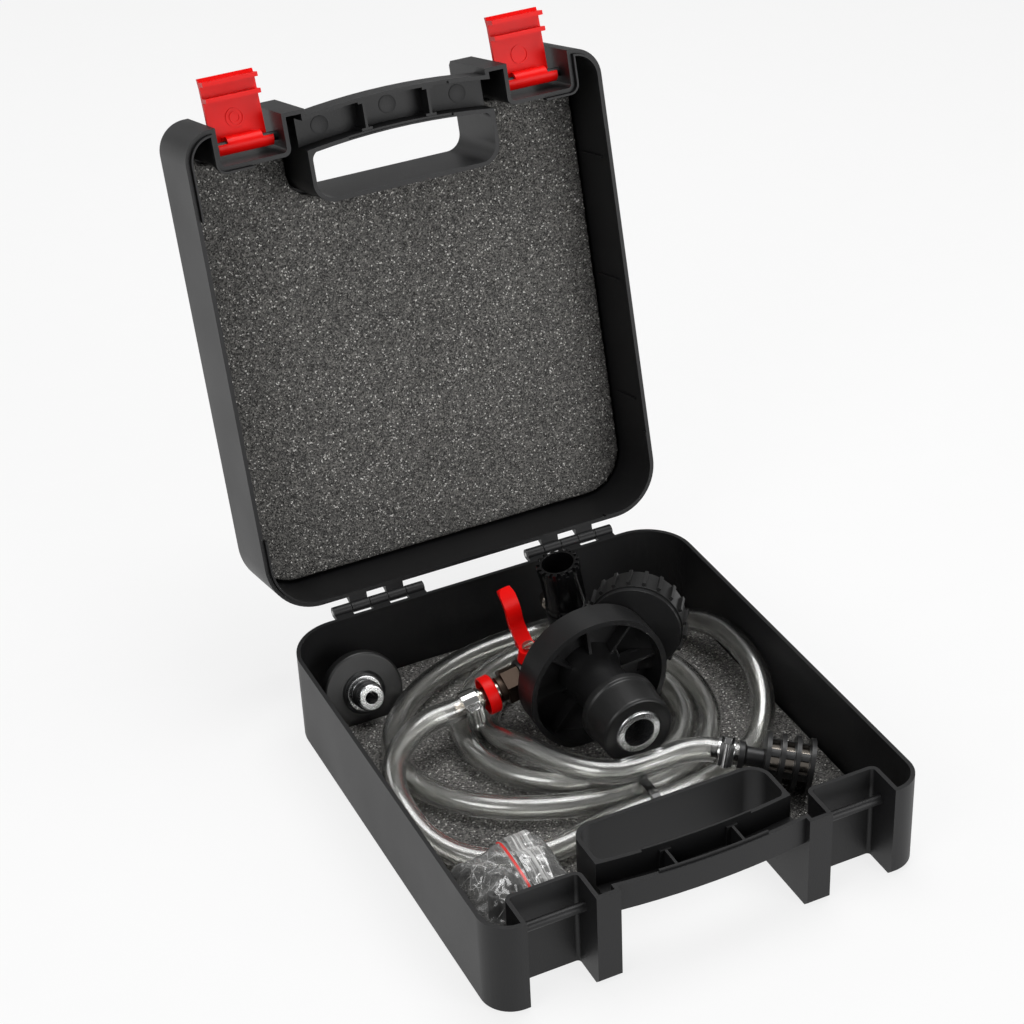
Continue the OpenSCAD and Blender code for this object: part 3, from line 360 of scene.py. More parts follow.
def edge_cutter(closed_face):
    """A ring of triangular section, which cuts the bevel of a half's closed face round its corners."""
    section = ((-slope - spare, -spare), (spare, -spare), (spare, slope + spare))
    points = []
    for sx, sy, first, radius in ((1, 1, 0, back_corner_r), (-1, 1, 90, back_corner_r),
                                  (-1, -1, 180, front_corner_r), (1, -1, 270, front_corner_r)):
        for k in range(corner_steps + 1):
            turn = math.radians(first + 90 / corner_steps * k)
            for out, up in section:
                points.append((sx * (case_half[0] - radius) + (radius + out) * math.cos(turn),
                               sy * (case_half[1] - radius) + (radius + out) * math.sin(turn), up))
    count = len(points) // 3
    faces = []
    for i in range(count):
        here, there = 3 * i, 3 * ((i + 1) % count)
        for k in range(3):
            faces.append((here + k, there + k, there + (k + 1) % 3, here + (k + 1) % 3))
    cutter_mesh = bpy.data.meshes.new("edge_cutter")
    cutter_mesh.from_pydata(points, [], faces)
    cutter_mesh.transform(closed_face)
    cutter = new_object("edge_cutter", cutter_mesh)
    only(cutter)
    bpy.ops.object.mode_set(mode="EDIT")
    bpy.ops.mesh.select_all(action="SELECT")
    bpy.ops.mesh.normals_make_consistent(inside=False)
    bpy.ops.object.mode_set(mode="OBJECT")
    return cutter


# Polypropylene: black with a satin sheen; the grain is 0.3 mm on the real case and is drawn at 0.7 mm to show.
case_plastic, tree, place, surface = start_material("black_polypropylene_fine_grain")
grain = add_node(tree, "ShaderNodeTexNoise", {"Vector": place, "Scale": 1 / 0.0007, "Detail": 2.0})
cloud = add_node(tree, "ShaderNodeTexNoise", {"Vector": place, "Scale": 1 / 0.05, "Detail": 4.0})
tone = add_node(tree, "ShaderNodeMix", {
    "Factor": cloud.outputs["Fac"], "A": linear("#131314"), "B": linear("#1a1a1b")}, data_type="RGBA")
sheen = add_node(tree, "ShaderNodeMapRange", {"Value": cloud.outputs["Fac"], "To Min": 0.40, "To Max": 0.54})
relief = add_node(tree, "ShaderNodeBump", {
    "Height": grain.outputs["Fac"], "Strength": 0.25, "Distance": 0.0003})
shader = add_node(tree, "ShaderNodeBsdfPrincipled", {
    "Base Color": tone.outputs["Result"], "Roughness": sheen.outputs["Result"], "IOR": 1.49,
    "Specular IOR Level": 0.36, "Normal": relief.outputs["Normal"]})
tree.links.new(shader.outputs[0], surface)
tray_face = Matrix.Identity(4)
lid_face = lid_swing @ Matrix.Translation((0, 0, case_top)) @ Matrix.Diagonal((1, 1, -1, 1))
for node, name, closed_face in (("tray_shell", "tray_moulding", tray_face),
                                ("lid_shell", "lid_moulding", lid_face)):
    broken_edges(node, name, 0.0005, case_plastic, cutter=edge_cutter(closed_face))


# Ejector marks: three round pads on the floor of the lid's handle channel, left by the mould's pins.
# Each is a low rim round a shallow dish, of the same plastic as the lid and in one piece with it.
mark_r = 0.0048
mark_height = 0.0006
rim_wide = 0.0007
dish_deep = 0.00018
channel_z = 0.0682
bpy.ops.object.select_all(action="DESELECT")
bpy.ops.mesh.primitive_cylinder_add(vertices=48, radius=mark_r, depth=mark_height)
first_mark = bpy.context.object
bpy.ops.object.mode_set(mode="EDIT")
bpy.ops.mesh.select_all(action="DESELECT")
rim = bmesh.from_edit_mesh(first_mark.data)
for face in rim.faces:
    face.select_set(face.normal.z < -0.9)
bmesh.update_edit_mesh(first_mark.data)
bpy.ops.mesh.inset(thickness=rim_wide)
bpy.ops.transform.translate(value=(0, 0, dish_deep))
bpy.ops.object.mode_set(mode="OBJECT")
for name, x, y in (("left", -0.040, -0.1204), ("middle", -0.0012, -0.1232), ("right", 0.0388, -0.1206)):
    mark = new_object("ejector_mark_" + name, first_mark.data.copy())
    mark.data.transform(lid_swing @ Matrix.Translation((x, y, channel_z)))
    only(mark)
    bpy.ops.object.shade_smooth_by_angle(angle=math.radians(30))
    paint(mark, case_plastic)
    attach(mark, "lid")
bpy.data.objects.remove(first_mark)


# Hinge pins: two lengths of drawn steel wire pushed through the knuckles of both halves.
# The drawing leaves fine lines along the wire, 0.4 mm apart here, and zinc gives it a soft grey shine.
drawn_steel, tree, place, surface = start_material("zinc_plated_steel_wire")
along_wire = add_node(tree, "ShaderNodeMapping", {
    "Vector": place, "Scale": (1 / 0.025, 1 / 0.0004, 1 / 0.0004)})
streak = add_node(tree, "ShaderNodeTexNoise", {"Vector": along_wire.outputs[0], "Scale": 1.0})
sheen = add_node(tree, "ShaderNodeMapRange", {"Value": streak.outputs["Fac"], "To Min": 0.22, "To Max": 0.42})
shader = add_node(tree, "ShaderNodeBsdfPrincipled", {
    "Base Color": linear("#a9a9a8"), "Metallic": 1.0, "Roughness": sheen.outputs["Result"]})
tree.links.new(shader.outputs[0], surface)
paint(nodes["hinge_pins"], drawn_steel)


# Latches: red polypropylene clips that snap on a bar in the lid's pocket and over a bar in the tray's.
# They come from the mould with a satin face and a raised ring on it.
red_plastic, tree, place, surface = start_material("signal_red_moulded_polypropylene")
flow = add_node(tree, "ShaderNodeTexNoise", {"Vector": place, "Scale": 1 / 0.012, "Detail": 3.0})
grain = add_node(tree, "ShaderNodeTexNoise", {"Vector": place, "Scale": 1 / 0.0008, "Detail": 2.0})
tone = add_node(tree, "ShaderNodeMix", {
    "Factor": flow.outputs["Fac"], "A": linear("#dd0705"), "B": linear("#ea0f0c")}, data_type="RGBA")
sheen = add_node(tree, "ShaderNodeMapRange", {"Value": flow.outputs["Fac"], "To Min": 0.28, "To Max": 0.42})
relief = add_node(tree, "ShaderNodeBump", {
    "Height": grain.outputs["Fac"], "Strength": 0.12, "Distance": 0.0002})
shader = add_node(tree, "ShaderNodeBsdfPrincipled", {
    "Base Color": tone.outputs["Result"], "Roughness": sheen.outputs["Result"], "IOR": 1.49,
    "Specular IOR Level": 0.16, "Subsurface Weight": 0.08,
    "Subsurface Radius": (0.004, 0.001, 0.001), "Normal": relief.outputs["Normal"]})
tree.links.new(shader.outputs[0], surface)
for node, name in (("left_latch", "left_latch_clip"), ("right_latch", "right_latch_clip")):
    broken_edges(node, name, 0.0004, red_plastic)


# Foam: sheets of bonded polyethylene chip foam cut to the plan of each half and pushed in, with soft edges.
# It is matt grey with open cut cells. Chips of several greys, 0.7 mm across, give the speckle.
foam_voxel = 0.002
dent_deep = 0.0006
dent_wide = 0.03
chip_foam, tree, place, surface = start_material("grey_bonded_chip_foam")
chips = add_node(tree, "ShaderNodeTexVoronoi", {"Vector": place, "Scale": 1 / 0.0007})
chip_tone = add_node(tree, "ShaderNodeSeparateColor", {"Color": chips.outputs["Color"]})
tones = add_node(tree, "ShaderNodeValToRGB", {"Fac": chip_tone.outputs["Red"]})
stops = tones.color_ramp.elements
stops[0].position, stops[0].color = 0.0, linear("#302f2e")
stops[1].position, stops[1].color = 1.0, linear("#e4e2de")
for spot, code in ((0.35, "#525150"), (0.72, "#6b6a67"), (0.955, "#868480")):
    stops.new(spot).color = linear(code)
pores = add_node(tree, "ShaderNodeTexNoise", {"Vector": place, "Scale": 1 / 0.0009, "Detail": 3.0})
height = add_node(tree, "ShaderNodeMath", {
    0: chips.outputs["Distance"], 1: pores.outputs["Fac"]}, operation="ADD")
relief = add_node(tree, "ShaderNodeBump", {"Height": height.outputs[0], "Strength": 0.7, "Distance": 0.0006})
shader = add_node(tree, "ShaderNodeBsdfPrincipled", {
    "Base Color": tones.outputs["Color"], "Roughness": 0.95, "Specular IOR Level": 0.2,
    "Normal": relief.outputs["Normal"]})
tree.links.new(shader.outputs[0], surface)
for node, name in (("tray_foam", "tray_foam_sheet"), ("lid_foam", "lid_foam_sheet")):
    sheet = merged_copy(node, name)
    cells = sheet.modifiers.new("cells", "REMESH")
    cells.mode = "VOXEL"
    cells.voxel_size = foam_voxel
    bpy.ops.object.modifier_apply(modifier="cells")
    soft = sheet.modifiers.new("soft", "SMOOTH")
    soft.factor = 0.5
    soft.iterations = 2
    bpy.ops.object.modifier_apply(modifier="soft")
    uneven = bpy.data.textures.new(name + "_uneven", "CLOUDS")
    uneven.noise_scale = dent_wide
    hollow = sheet.modifiers.new("hollow", "DISPLACE")
    hollow.texture = uneven
    hollow.texture_coords = "LOCAL"
    hollow.strength = dent_deep
    hollow.mid_level = 1.0
    bpy.ops.object.modifier_apply(modifier="hollow")
    bpy.ops.object.shade_smooth()
    stand_for(sheet, node, chip_foam)


# Nylon mouldings: the filler head's ring, plate and neck in one piece, its manifold, venturi and valve blocks,
# the gauge's cup, the strainer and the small cones in the bag, all of glass filled nylon.
# The glass leaves a dull, slightly cloudy black.
head_plastic, tree, place, surface = start_material("black_glass_filled_nylon")
fibre = add_node(tree, "ShaderNodeTexNoise", {"Vector": place, "Scale": 1 / 0.0009, "Detail": 4.0})
cloud = add_node(tree, "ShaderNodeTexNoise", {"Vector": place, "Scale": 1 / 0.02, "Detail": 3.0})
tone = add_node(tree, "ShaderNodeMix", {
    "Factor": cloud.outputs["Fac"], "A": linear("#141414"), "B": linear("#1f1f20")}, data_type="RGBA")
sheen = add_node(tree, "ShaderNodeMapRange", {"Value": cloud.outputs["Fac"], "To Min": 0.32, "To Max": 0.46})
relief = add_node(tree, "ShaderNodeBump", {
    "Height": fibre.outputs["Fac"], "Strength": 0.2, "Distance": 0.0003})
shader = add_node(tree, "ShaderNodeBsdfPrincipled", {
    "Base Color": tone.outputs["Result"], "Roughness": sheen.outputs["Result"], "IOR": 1.53,
    "Normal": relief.outputs["Normal"]})
tree.links.new(shader.outputs[0], surface)
for node, name, width in (
        ("head_housing", "head_moulding", 0.0004), ("manifold", "manifold_block", 0.0004),
        ("venturi_body", "venturi_block", 0.0004), ("valve_body", "valve_block", 0.0004),
        ("gauge_case", "gauge_cup", 0.0003), ("strainer_stem", "strainer_barb", 0.0003),
        ("strainer_cage", "strainer_basket", 0.0003), ("filler_cones", "small_cones", 0.0002)):
    broken_edges(node, name, width, head_plastic)


# Muffler tube and cable tie: a glossy black pipe with a ribbed mouth, pushed on the venturi, and a strap
# round two strands of the hose. Both come from polished tools, so they reflect the studio sharply.
gloss_black, tree, place, surface = start_material("polished_black_abs")
smear = add_node(tree, "ShaderNodeTexNoise", {"Vector": place, "Scale": 1 / 0.006, "Detail": 3.0})
sheen = add_node(tree, "ShaderNodeMapRange", {"Value": smear.outputs["Fac"], "To Min": 0.10, "To Max": 0.22})
shader = add_node(tree, "ShaderNodeBsdfPrincipled", {
    "Base Color": linear("#0c0c0d"), "Roughness": sheen.outputs["Result"], "IOR": 1.54})
tree.links.new(shader.outputs[0], surface)
for node, name in (("muffler_tube", "muffler_pipe"), ("cable_tie", "tie_strap")):
    broken_edges(node, name, 0.0003, gloss_black)


# Rubber pieces: the stopper's cone, the gauge's boot, the adapter's disc and two sealing rings.
# They are black nitrile, pressed in a smooth mould, so the skin has a soft gloss.
black_rubber, tree, place, surface = start_material("black_nitrile_rubber")
bloom = add_node(tree, "ShaderNodeTexNoise", {"Vector": place, "Scale": 1 / 0.015, "Detail": 4.0})
tone = add_node(tree, "ShaderNodeMix", {
    "Factor": bloom.outputs["Fac"], "A": linear("#0d0d0d"), "B": linear("#1b1b1b")}, data_type="RGBA")
sheen = add_node(tree, "ShaderNodeMapRange", {"Value": bloom.outputs["Fac"], "To Min": 0.32, "To Max": 0.5})
skin_grain = add_node(tree, "ShaderNodeTexNoise", {"Vector": place, "Scale": 1 / 0.0008})
relief = add_node(tree, "ShaderNodeBump", {
    "Height": skin_grain.outputs["Fac"], "Strength": 0.15, "Distance": 0.0002})
shader = add_node(tree, "ShaderNodeBsdfPrincipled", {
    "Base Color": tone.outputs["Result"], "Roughness": sheen.outputs["Result"], "IOR": 1.52,
    "Normal": relief.outputs["Normal"]})
tree.links.new(shader.outputs[0], surface)
for node, name, width in (
        ("stopper_rubber", "stopper_cone", 0.0005), ("gauge_bezel", "gauge_boot", 0.0004),
        ("adapter_disc", "adapter_rubber", 0.0005), ("adapter_o_rings", "adapter_seals", 0.0001)):
    broken_edges(node, name, width, black_rubber)


# Turned aluminium: the stopper's tube and the adapter's nozzle, bright from the lathe and pressed in.
# The tool leaves fine marks, about 0.1 mm apart and drawn at 0.5 mm to show.
turned_alloy, tree, place, surface = start_material("bright_turned_aluminium")
marks = add_node(tree, "ShaderNodeTexNoise", {"Vector": place, "Scale": 1 / 0.0005, "Detail": 2.0})
sheen = add_node(tree, "ShaderNodeMapRange", {"Value": marks.outputs["Fac"], "To Min": 0.16, "To Max": 0.34})
relief = add_node(tree, "ShaderNodeBump", {
    "Height": marks.outputs["Fac"], "Strength": 0.08, "Distance": 0.0002})
shader = add_node(tree, "ShaderNodeBsdfPrincipled", {
    "Base Color": linear("#d4d5d6"), "Metallic": 1.0, "Roughness": sheen.outputs["Result"],
    "Normal": relief.outputs["Normal"]})
tree.links.new(shader.outputs[0], surface)
for node, name in (("stopper_core", "stopper_tube"), ("adapter_nozzle", "adapter_spigot")):
    broken_edges(node, name, 0.0003, turned_alloy)


# Plated steel, stainless and brass: a dull hexagon nipple, then barb, air plug, ball, screw and mesh in nickel,
# the hose clamps in bright stainless band, and the gauge's works, nozzle and spindle in brass.
# Nickel has a warm grey cast; the nipple's plating is drawn much darker than that, as painted shade. All carry
# fine marks from the machine, 1.5 mm apart.
for name, slot, code, low, high, group in (
        ("plated_hexagon_bar_painted_shade", "plated_steel", "#4d423a", 0.40, 0.55, (("hex_nipple", "nipple_nut"),)),
        ("nickel_plated_steel", "plated_steel", "#b3aaa0", 0.14, 0.30,
         (("head_barb", "barb_fitting"), ("air_nipple", "air_plug"), ("valve_ball", "ball"),
          ("lever_screw", "lever_cap_screw"), ("strainer_screen", "strainer_mesh"))),
        ("stainless_clamp_band", "clamp_steel", "#cfcfce", 0.10, 0.24,
         (("head_clamp", "head_clamp_band"), ("head_clamp_screw", "head_clamp_worm"),
          ("tail_clamp", "tail_clamp_band"), ("tail_clamp_screw", "tail_clamp_worm"))),
        ("machined_brass", "brass", "#c8a253", 0.20, 0.36,
         (("venturi_nozzle", "ejector_nozzle"), ("bourdon_tube", "gauge_spring_tube"),
          ("gauge_movement", "gauge_works"), ("gauge_stem", "gauge_pipe"),
          ("valve_stem", "valve_spindle")))):
    metal, tree, place, surface = start_material(name)
    marks = add_node(tree, "ShaderNodeTexNoise", {"Vector": place, "Scale": 1 / 0.0015, "Detail": 3.0})
    sheen = add_node(tree, "ShaderNodeMapRange", {
        "Value": marks.outputs["Fac"], "To Min": low, "To Max": high})
    relief = add_node(tree, "ShaderNodeBump", {
        "Height": marks.outputs["Fac"], "Strength": 0.05, "Distance": 0.0002})
    shader = add_node(tree, "ShaderNodeBsdfPrincipled", {
        "Base Color": linear(code), "Metallic": 1.0, "Roughness": sheen.outputs["Result"],
        "Normal": relief.outputs["Normal"]})
    tree.links.new(shader.outputs[0], surface)
    for node, piece_name in group:
        broken_edges(node, piece_name, 0.0002, metal)


# Red fittings: the valve's lever, the collar on the hose barb and the gauge's pointer, in the latches' red.
# The lever is dipped in plastic, so its edges are fuller. The pointer is pressed on the gauge's spindle.
for node, name, width in (("valve_lever", "lever_handle", 0.0007), ("red_collar", "barb_collar", 0.0004),
                          ("gauge_needle", "pointer", 0.0001)):
    broken_edges(node, name, width, red_plastic)


# Gauge dial: a white printed disc with plain numbers from 0 to 10, which run anticlockwise.
# It lies on the cup's shoulder under the red pointer and a snapped in lens of clear acrylic.
dial_white, tree, place, surface = start_material("white_printed_tinplate")
orange_peel = add_node(tree, "ShaderNodeTexNoise", {"Vector": place, "Scale": 1 / 0.0012, "Detail": 2.0})
tone = add_node(tree, "ShaderNodeMix", {
    "Factor": orange_peel.outputs["Fac"], "A": linear("#eceae4"), "B": linear("#f6f5f1")}, data_type="RGBA")
sheen = add_node(tree, "ShaderNodeMapRange", {
    "Value": orange_peel.outputs["Fac"], "To Min": 0.35, "To Max": 0.5})
shader = add_node(tree, "ShaderNodeBsdfPrincipled", {
    "Base Color": tone.outputs["Result"], "Roughness": sheen.outputs["Result"], "IOR": 1.5})
tree.links.new(shader.outputs[0], surface)
paint(nodes["gauge_dial"], dial_white)

# Dial print: ticks and numbers in thick black ink, as raised as a screen print.
gauge_at = (0.0326, 0.019, 0.0096)
gauge_place = (Matrix.Translation(head_at) @ head_turn.to_4x4() @ Matrix.Translation(gauge_at)
               @ Matrix.Rotation(math.radians(-33.4), 4, "Z") @ Matrix.Rotation(math.radians(-99.3), 4, "X"))
dial_top = 0.0068
ink = 0.00008
tick_unit = 0.001
tick_out = 0.0219
long_in, short_in = 0.0190, 0.0204
long_wide, short_wide = 0.45, 0.28
first_angle, sweep = 135, 270
top_number, ticks_each = 10, 5
number_r = 0.0158
number_size = 0.0046
bpy.ops.object.select_all(action="DESELECT")
bpy.ops.mesh.primitive_plane_add(size=tick_unit)
tick = bpy.context.object
bpy.ops.object.mode_set(mode="EDIT")
bpy.ops.mesh.select_all(action="SELECT")
bpy.ops.mesh.extrude_region_move(TRANSFORM_OT_translate={"value": (0, 0, ink)})
bpy.ops.mesh.select_all(action="SELECT")
bpy.ops.mesh.normals_make_consistent(inside=False)
bpy.ops.object.mode_set(mode="OBJECT")
printed = []
tick_count = top_number * ticks_each
for k in range(tick_count + 1):
    inner, wide = (short_in, short_wide) if k % ticks_each else (long_in, long_wide)
    line = new_object("tick", tick.data.copy())
    line.data.transform(Matrix.Rotation(math.radians(first_angle + sweep / tick_count * k), 4, "Z")
                        @ Matrix.Translation(((inner + tick_out) / 2, 0, dial_top))
                        @ Matrix.Diagonal(((tick_out - inner) / tick_unit, wide, 1, 1)))
    printed.append(line)
bpy.data.objects.remove(tick)
for number in range(0, top_number + 1, 2):
    bpy.ops.object.select_all(action="DESELECT")
    bpy.ops.object.text_add()
    digit = bpy.context.object
    digit.data.body = str(number)
    digit.data.align_x = "CENTER"
    digit.data.align_y = "CENTER"
    digit.data.size = number_size
    digit.data.extrude = ink / 2
    bpy.ops.object.convert(target="MESH")
    digit = bpy.context.object
    turn = math.radians(first_angle + sweep / top_number * number)
    number_at = (number_r * math.cos(turn), number_r * math.sin(turn), dial_top + ink / 2)
    digit.data.transform(Matrix.Translation(number_at) @ Matrix.Rotation(math.radians(180), 4, "Z"))
    printed.append(digit)
only(printed[0])
for mark in printed:
    mark.select_set(True)
bpy.ops.object.join()
dial_print = bpy.context.object
dial_print.name = "dial_print"
dial_print.data.transform(gauge_place)
paint(dial_print, gloss_black)
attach(dial_print, nodes["gauge_dial"]["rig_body"])

# Acrylic: water clear, with the faint scuffs of a lens that has been wiped, a few millimetres long.
clear_acrylic, tree, place, surface = start_material("clear_acrylic_lens")
scuff = add_node(tree, "ShaderNodeTexNoise", {"Vector": place, "Scale": 1 / 0.004, "Detail": 4.0})
haze = add_node(tree, "ShaderNodeMapRange", {"Value": scuff.outputs["Fac"], "To Min": 0.01, "To Max": 0.07})
shader = add_node(tree, "ShaderNodeBsdfPrincipled", {
    "Base Color": linear("#fbfcfc"), "Roughness": haze.outputs["Result"], "IOR": 1.49,
    "Transmission Weight": 1.0})
tree.links.new(shader.outputs[0], surface)
paint(nodes["gauge_lens"], clear_acrylic)


# Valve seats: two rings of white PTFE that hold the ball, turned from bar and pressed into the valve's body.
# PTFE is waxy, with a soft sheen and the faint marks of the lathe.
seat_ptfe, tree, place, surface = start_material("turned_white_ptfe")
lathe = add_node(tree, "ShaderNodeTexNoise", {"Vector": place, "Scale": 1 / 0.0006, "Detail": 2.0})
tone = add_node(tree, "ShaderNodeMix", {
    "Factor": lathe.outputs["Fac"], "A": linear("#e6e5e0"), "B": linear("#f3f2ee")}, data_type="RGBA")
sheen = add_node(tree, "ShaderNodeMapRange", {"Value": lathe.outputs["Fac"], "To Min": 0.4, "To Max": 0.55})
shader = add_node(tree, "ShaderNodeBsdfPrincipled", {
    "Base Color": tone.outputs["Result"], "Roughness": sheen.outputs["Result"], "IOR": 1.38})
tree.links.new(shader.outputs[0], surface)
paint(nodes["valve_seats"], seat_ptfe)


# Zip bag: a strip of clear polyethylene film folded in two and welded at the sides.
# It lies crumpled in the tray's corner, drawn over the cones, and beyond the zip its mouth lies as a lip.
bag_place = (Matrix.Translation((-0.08315, -0.0845, 0.0306)) @ Matrix.Rotation(math.radians(-5), 4, "Y")
             @ Matrix.Rotation(math.radians(4), 4, "X"))
bag_half = Vector((0.02535, 0.025, 0.017))
bag_steps = 72
foam_level = 0.01205
seam, seam_open = 0.0005, 20
boxy, plump = 4, 0.6
zip_x = 0.001
zip_half, zip_run = 0.0018, 0.005
fold_sink = 0.0024
under_turn = 25
sway, sway_run, sway_shift = 0.3, 0.012, 9
# Direction in degrees, pitch, height and shift of each set of folds
folds = ((17, 0.0135, 0.0019, 0.2), (74, 0.0175, 0.0026, 0.55), (128, 0.0115, 0.0016, 0.1),
         (152, 0.0215, 0.0028, 0.7), (41, 0.0085, 0.0008, 0.4))
lip_wide, lip_long = 16, 60
lip_gap, lip_reach, lip_wave = 0.0022, 0.0125, 0.0018
lip_span = 0.9
lip_lift, lip_drop, lip_curl = 0.0005, 0.004, 0.0012
hump_at, hump_share = 0.6, 0.98
edge_wave, curl_wave = (2.4, 0.6), (7, 1)


def crumple(x, y, side):
    """The height of the creases at a point, from sharp folds that cross in several directions."""
    height = 0.0
    for turn, pitch, rise, shift in folds:
        a = math.radians(turn + under_turn * side)
        bent = sway * math.sin((x * math.sin(a) - y * math.cos(a)) / sway_run + sway_shift * shift)
        place_in_fold = ((x * math.cos(a) + y * math.sin(a)) / pitch + shift + bent) % 1
        height += rise * (abs(place_in_fold * 2 - 1) - 0.5)
    return height


def film_point(u, v, side):
    """A point of the upper (1) or lower (-1) layer of film, in the bag's own frame."""
    x, y = u * bag_half.x, v * bag_half.y
    full = max(0.0, (1 - u ** boxy) * (1 - v ** boxy)) ** plump
    slack = full
    if side > 0:
        slack = full * ease((abs(x - zip_x) - zip_half) / zip_run)
    z = (side * (seam * min(1, full * seam_open) + bag_half.z * full)
         + slack * (crumple(x, y, side) - fold_sink))
    return Vector((x, y, z))


film_points, film_faces, index = [], [], {}
for side in (1, -1):
    for i in range(bag_steps + 1):
        for j in range(bag_steps + 1):
            if side < 0 and (i in (0, bag_steps) or j in (0, bag_steps)):
                index[side, i, j] = index[1, i, j]
                continue
            point = bag_place @ film_point(2 * i / bag_steps - 1, 2 * j / bag_steps - 1, side)
            point.z = max(point.z, foam_level)
            index[side, i, j] = len(film_points)
            film_points.append(point)
    for i in range(bag_steps):
        for j in range(bag_steps):
            ring = [index[side, a, b] for a, b in ((i, j), (i + 1, j), (i + 1, j + 1), (i, j + 1))]
            film_faces.append(ring if side > 0 else ring[::-1])
lip_start = len(film_points)
for i in range(lip_wide + 1):
    for j in range(lip_long + 1):
        s, t = i / lip_wide, 2 * j / lip_long - 1
        reach = lip_gap + s * (lip_reach + lip_wave * math.sin(edge_wave[0] * t + edge_wave[1]))
        point = film_point((zip_x + reach) / bag_half.x, lip_span * t, 1)
        hump = film_point((zip_x + reach * hump_at) / bag_half.x, lip_span * t, -1)
        curl = lip_curl * s * s * (1 + math.sin(curl_wave[0] * t + curl_wave[1]))
        point.z = max(point.z, -hump.z * hump_share - lip_drop * s) + lip_lift + curl
        film_points.append(bag_place @ point)
for i in range(lip_wide):
    for j in range(lip_long):
        a = lip_start + i * (lip_long + 1) + j
        film_faces.append([a, a + lip_long + 1, a + lip_long + 2, a + 1])
film_mesh = bpy.data.meshes.new("zip_bag_film")
film_mesh.from_pydata([tuple(point) for point in film_points], [], film_faces)
film = new_object("zip_bag_film", film_mesh)
shaped = bmesh.new()
shaped.from_mesh(film_mesh)
crease = shaped.verts.layers.float.new("crease")
lip = shaped.verts.layers.float.new("lip")
# Each vertex keeps how sharp its crease is; the film's material paints a white highlight along the sharp ones.
full_crease = 0.9
for vert in shaped.verts:
    sharpest = max(edge.calc_face_angle(0.0) for edge in vert.link_edges)
    vert[crease] = min(1.0, sharpest / full_crease)
    vert[lip] = float(vert.index >= lip_start)
shaped.to_mesh(film_mesh)
shaped.free()
only(film)
bpy.ops.object.shade_smooth()

# Polyethylene film, 0.05 mm: clear, with its creases painted white as a highlight, and a lip that the zip's
# tooling ribs every 0.8 mm.
# The film is thin, so it is drawn as a share of a glossy skin; the gloss is raised to make up for that share.
clear_film, tree, place, surface = start_material("clear_polyethylene_film")
from_bag = bag_place.inverted()
in_bag = add_node(tree, "ShaderNodeMapping", {
    "Vector": place, "Location": from_bag.translation, "Rotation": from_bag.to_euler()})
along_zip = add_node(tree, "ShaderNodeMapping", {
    "Vector": in_bag.outputs[0], "Scale": (1 / 0.0008, 1 / 0.04, 1 / 0.04)})
lines = add_node(tree, "ShaderNodeTexNoise", {"Vector": along_zip.outputs[0], "Scale": 1.0, "Detail": 2.0})
line_share = add_node(tree, "ShaderNodeMapRange", {
    "Value": lines.outputs["Fac"], "From Min": 0.38, "From Max": 0.66, "To Min": 0.22, "To Max": 0.80})
is_lip = add_node(tree, "ShaderNodeAttribute", attribute_name="lip")
is_crease = add_node(tree, "ShaderNodeAttribute", attribute_name="crease")
lip_share = add_node(tree, "ShaderNodeMath", {
    0: is_lip.outputs["Fac"], 1: line_share.outputs["Result"]}, operation="MULTIPLY")
sharp = add_node(tree, "ShaderNodeMapRange", {
    "Value": is_crease.outputs["Fac"], "From Min": 0.25, "From Max": 0.9, "To Min": 0.0, "To Max": 0.75})
crinkle = add_node(tree, "ShaderNodeTexVoronoi", {"Vector": place, "Scale": 1 / 0.0085})
crinkle_edge = add_node(tree, "ShaderNodeTexVoronoi", {"Vector": place, "Scale": 1 / 0.0085},
                        feature="DISTANCE_TO_EDGE")
# Fine white lines on the crinkles' edges, shown in some patches only: a painted highlight.
painted_crinkle_highlight = add_node(tree, "ShaderNodeMapRange", {
    "Value": crinkle_edge.outputs["Distance"], "From Min": 0.0, "From Max": 0.03,
    "To Min": 0.7, "To Max": 0.0})
here = add_node(tree, "ShaderNodeTexNoise", {"Vector": place, "Scale": 1 / 0.012, "Detail": 1.0})
some = add_node(tree, "ShaderNodeMapRange", {
    "Value": here.outputs["Fac"], "From Min": 0.45, "From Max": 0.6})
some_painted_crinkle_highlights = add_node(tree, "ShaderNodeMath", {
    0: painted_crinkle_highlight.outputs["Result"], 1: some.outputs["Result"]}, operation="MULTIPLY")
painted_crease_highlight = add_node(tree, "ShaderNodeMath", {
    0: sharp.outputs["Result"], 1: some_painted_crinkle_highlights.outputs[0]}, operation="MAXIMUM")
# The lip's ribs are the film's own pattern; the creases and crinkle lines added to them are painted highlight.
ribs_and_painted_highlight = add_node(tree, "ShaderNodeMath", {
    0: lip_share.outputs[0], 1: painted_crease_highlight.outputs[0]}, operation="MAXIMUM")
cloudy = add_node(tree, "ShaderNodeTexNoise", {"Vector": place, "Scale": 1 / 0.008, "Detail": 3.0})
veil = add_node(tree, "ShaderNodeMapRange", {
    "Value": cloudy.outputs["Fac"], "From Min": 0.3, "From Max": 0.7, "To Min": 0.14, "To Max": 0.42})
glance = add_node(tree, "ShaderNodeLayerWeight", {"Blend": 0.3})
edge_on = add_node(tree, "ShaderNodeMath", {
    0: glance.outputs["Facing"], 1: veil.outputs["Result"]}, operation="ADD")
cover = add_node(tree, "ShaderNodeMath", {
    0: ribs_and_painted_highlight.outputs[0], 1: edge_on.outputs[0]}, operation="MAXIMUM", use_clamp=True)
# The film turns white and more opaque on the lip's ribs and on the painted crease highlight.
tone = add_node(tree, "ShaderNodeMix", {
    "Factor": ribs_and_painted_highlight.outputs[0], "A": linear("#868685"), "B": linear("#fbfbf9")}, data_type="RGBA")
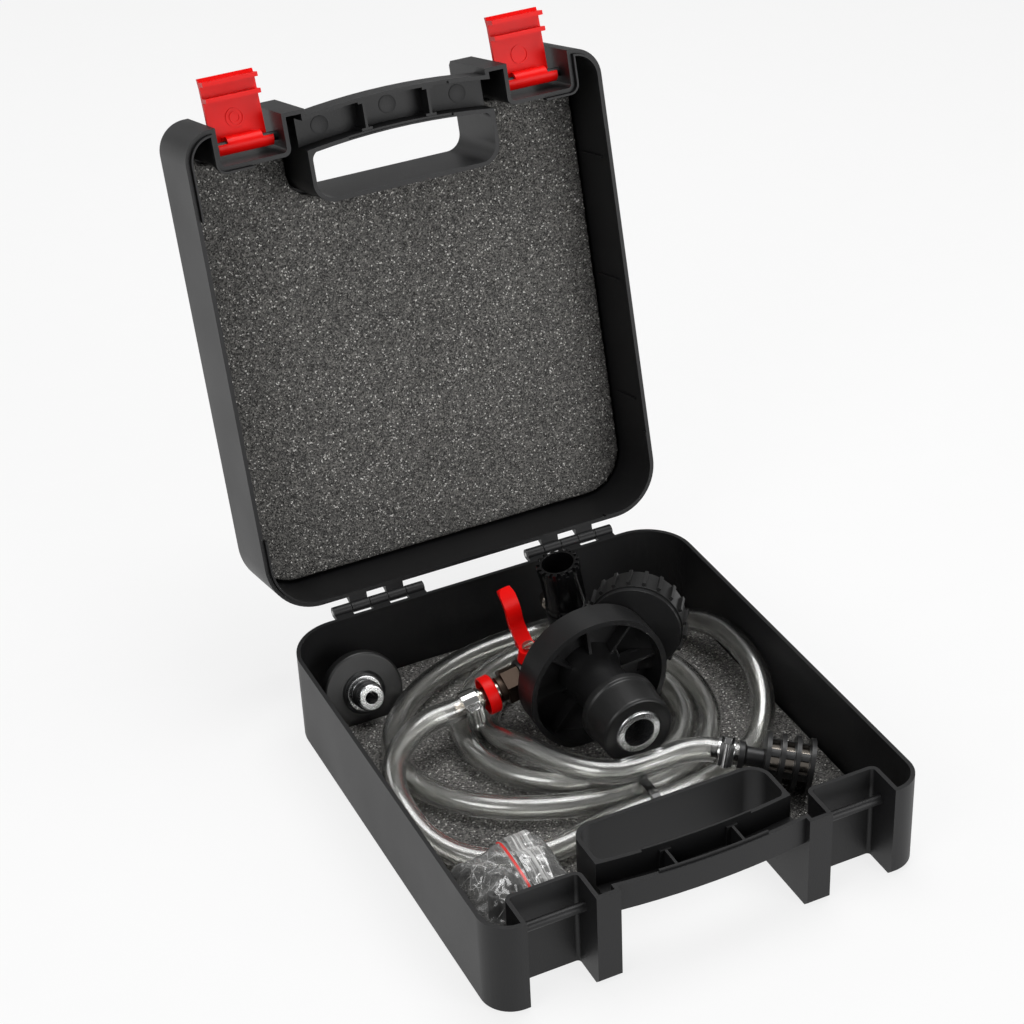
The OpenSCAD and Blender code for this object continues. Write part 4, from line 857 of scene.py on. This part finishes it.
sheen = add_node(tree, "ShaderNodeMapRange", {"Value": cloudy.outputs["Fac"], "To Min": 0.05, "To Max": 0.2})
relief = add_node(tree, "ShaderNodeBump", {
    "Height": crinkle.outputs["Distance"], "Strength": 0.7, "Distance": 0.002})
shader = add_node(tree, "ShaderNodeBsdfPrincipled", {
    "Base Color": tone.outputs["Result"], "Roughness": sheen.outputs["Result"], "IOR": 1.9,
    "Specular IOR Level": 0.9, "Normal": relief.outputs["Normal"], "Alpha": cover.outputs[0]})
tree.links.new(shader.outputs[0], surface)
stand_for(film, "zip_bag", clear_film)


# Zip: a clear ridge of extruded polyethylene, welded on the film across the bag.
# One red line runs along it and shows when it is shut. The line is dyed through.
line_half = 0.00055
zip_plastic, tree, place, surface = start_material("extruded_zip_with_red_line")
in_bag = add_node(tree, "ShaderNodeMapping", {
    "Vector": place, "Location": from_bag.translation, "Rotation": from_bag.to_euler()})
across = add_node(tree, "ShaderNodeSeparateXYZ", {"Vector": in_bag.outputs[0]})
on_line = add_node(tree, "ShaderNodeMath", {0: across.outputs["X"], 1: zip_x, 2: line_half},
                   operation="COMPARE")
wavy = add_node(tree, "ShaderNodeTexNoise", {"Vector": place, "Scale": 1 / 0.003, "Detail": 2.0})
red = add_node(tree, "ShaderNodeMix", {
    "Factor": wavy.outputs["Fac"], "A": linear("#d8201e"), "B": linear("#e8403a")}, data_type="RGBA")
tone = add_node(tree, "ShaderNodeMix", {
    "Factor": on_line.outputs[0], "A": linear("#e9e8e5"), "B": red.outputs["Result"]}, data_type="RGBA")
cover = add_node(tree, "ShaderNodeMapRange", {"Value": on_line.outputs[0], "To Min": 0.16, "To Max": 1.0})
sheen = add_node(tree, "ShaderNodeMapRange", {"Value": wavy.outputs["Fac"], "To Min": 0.2, "To Max": 0.32})
shader = add_node(tree, "ShaderNodeBsdfPrincipled", {
    "Base Color": tone.outputs["Result"], "Roughness": sheen.outputs["Result"], "IOR": 1.51,
    "Alpha": cover.outputs["Result"]})
tree.links.new(shader.outputs[0], surface)
zip_ridge = broken_edges("zip_strip", "zip_ridge", 0.0004, zip_plastic)
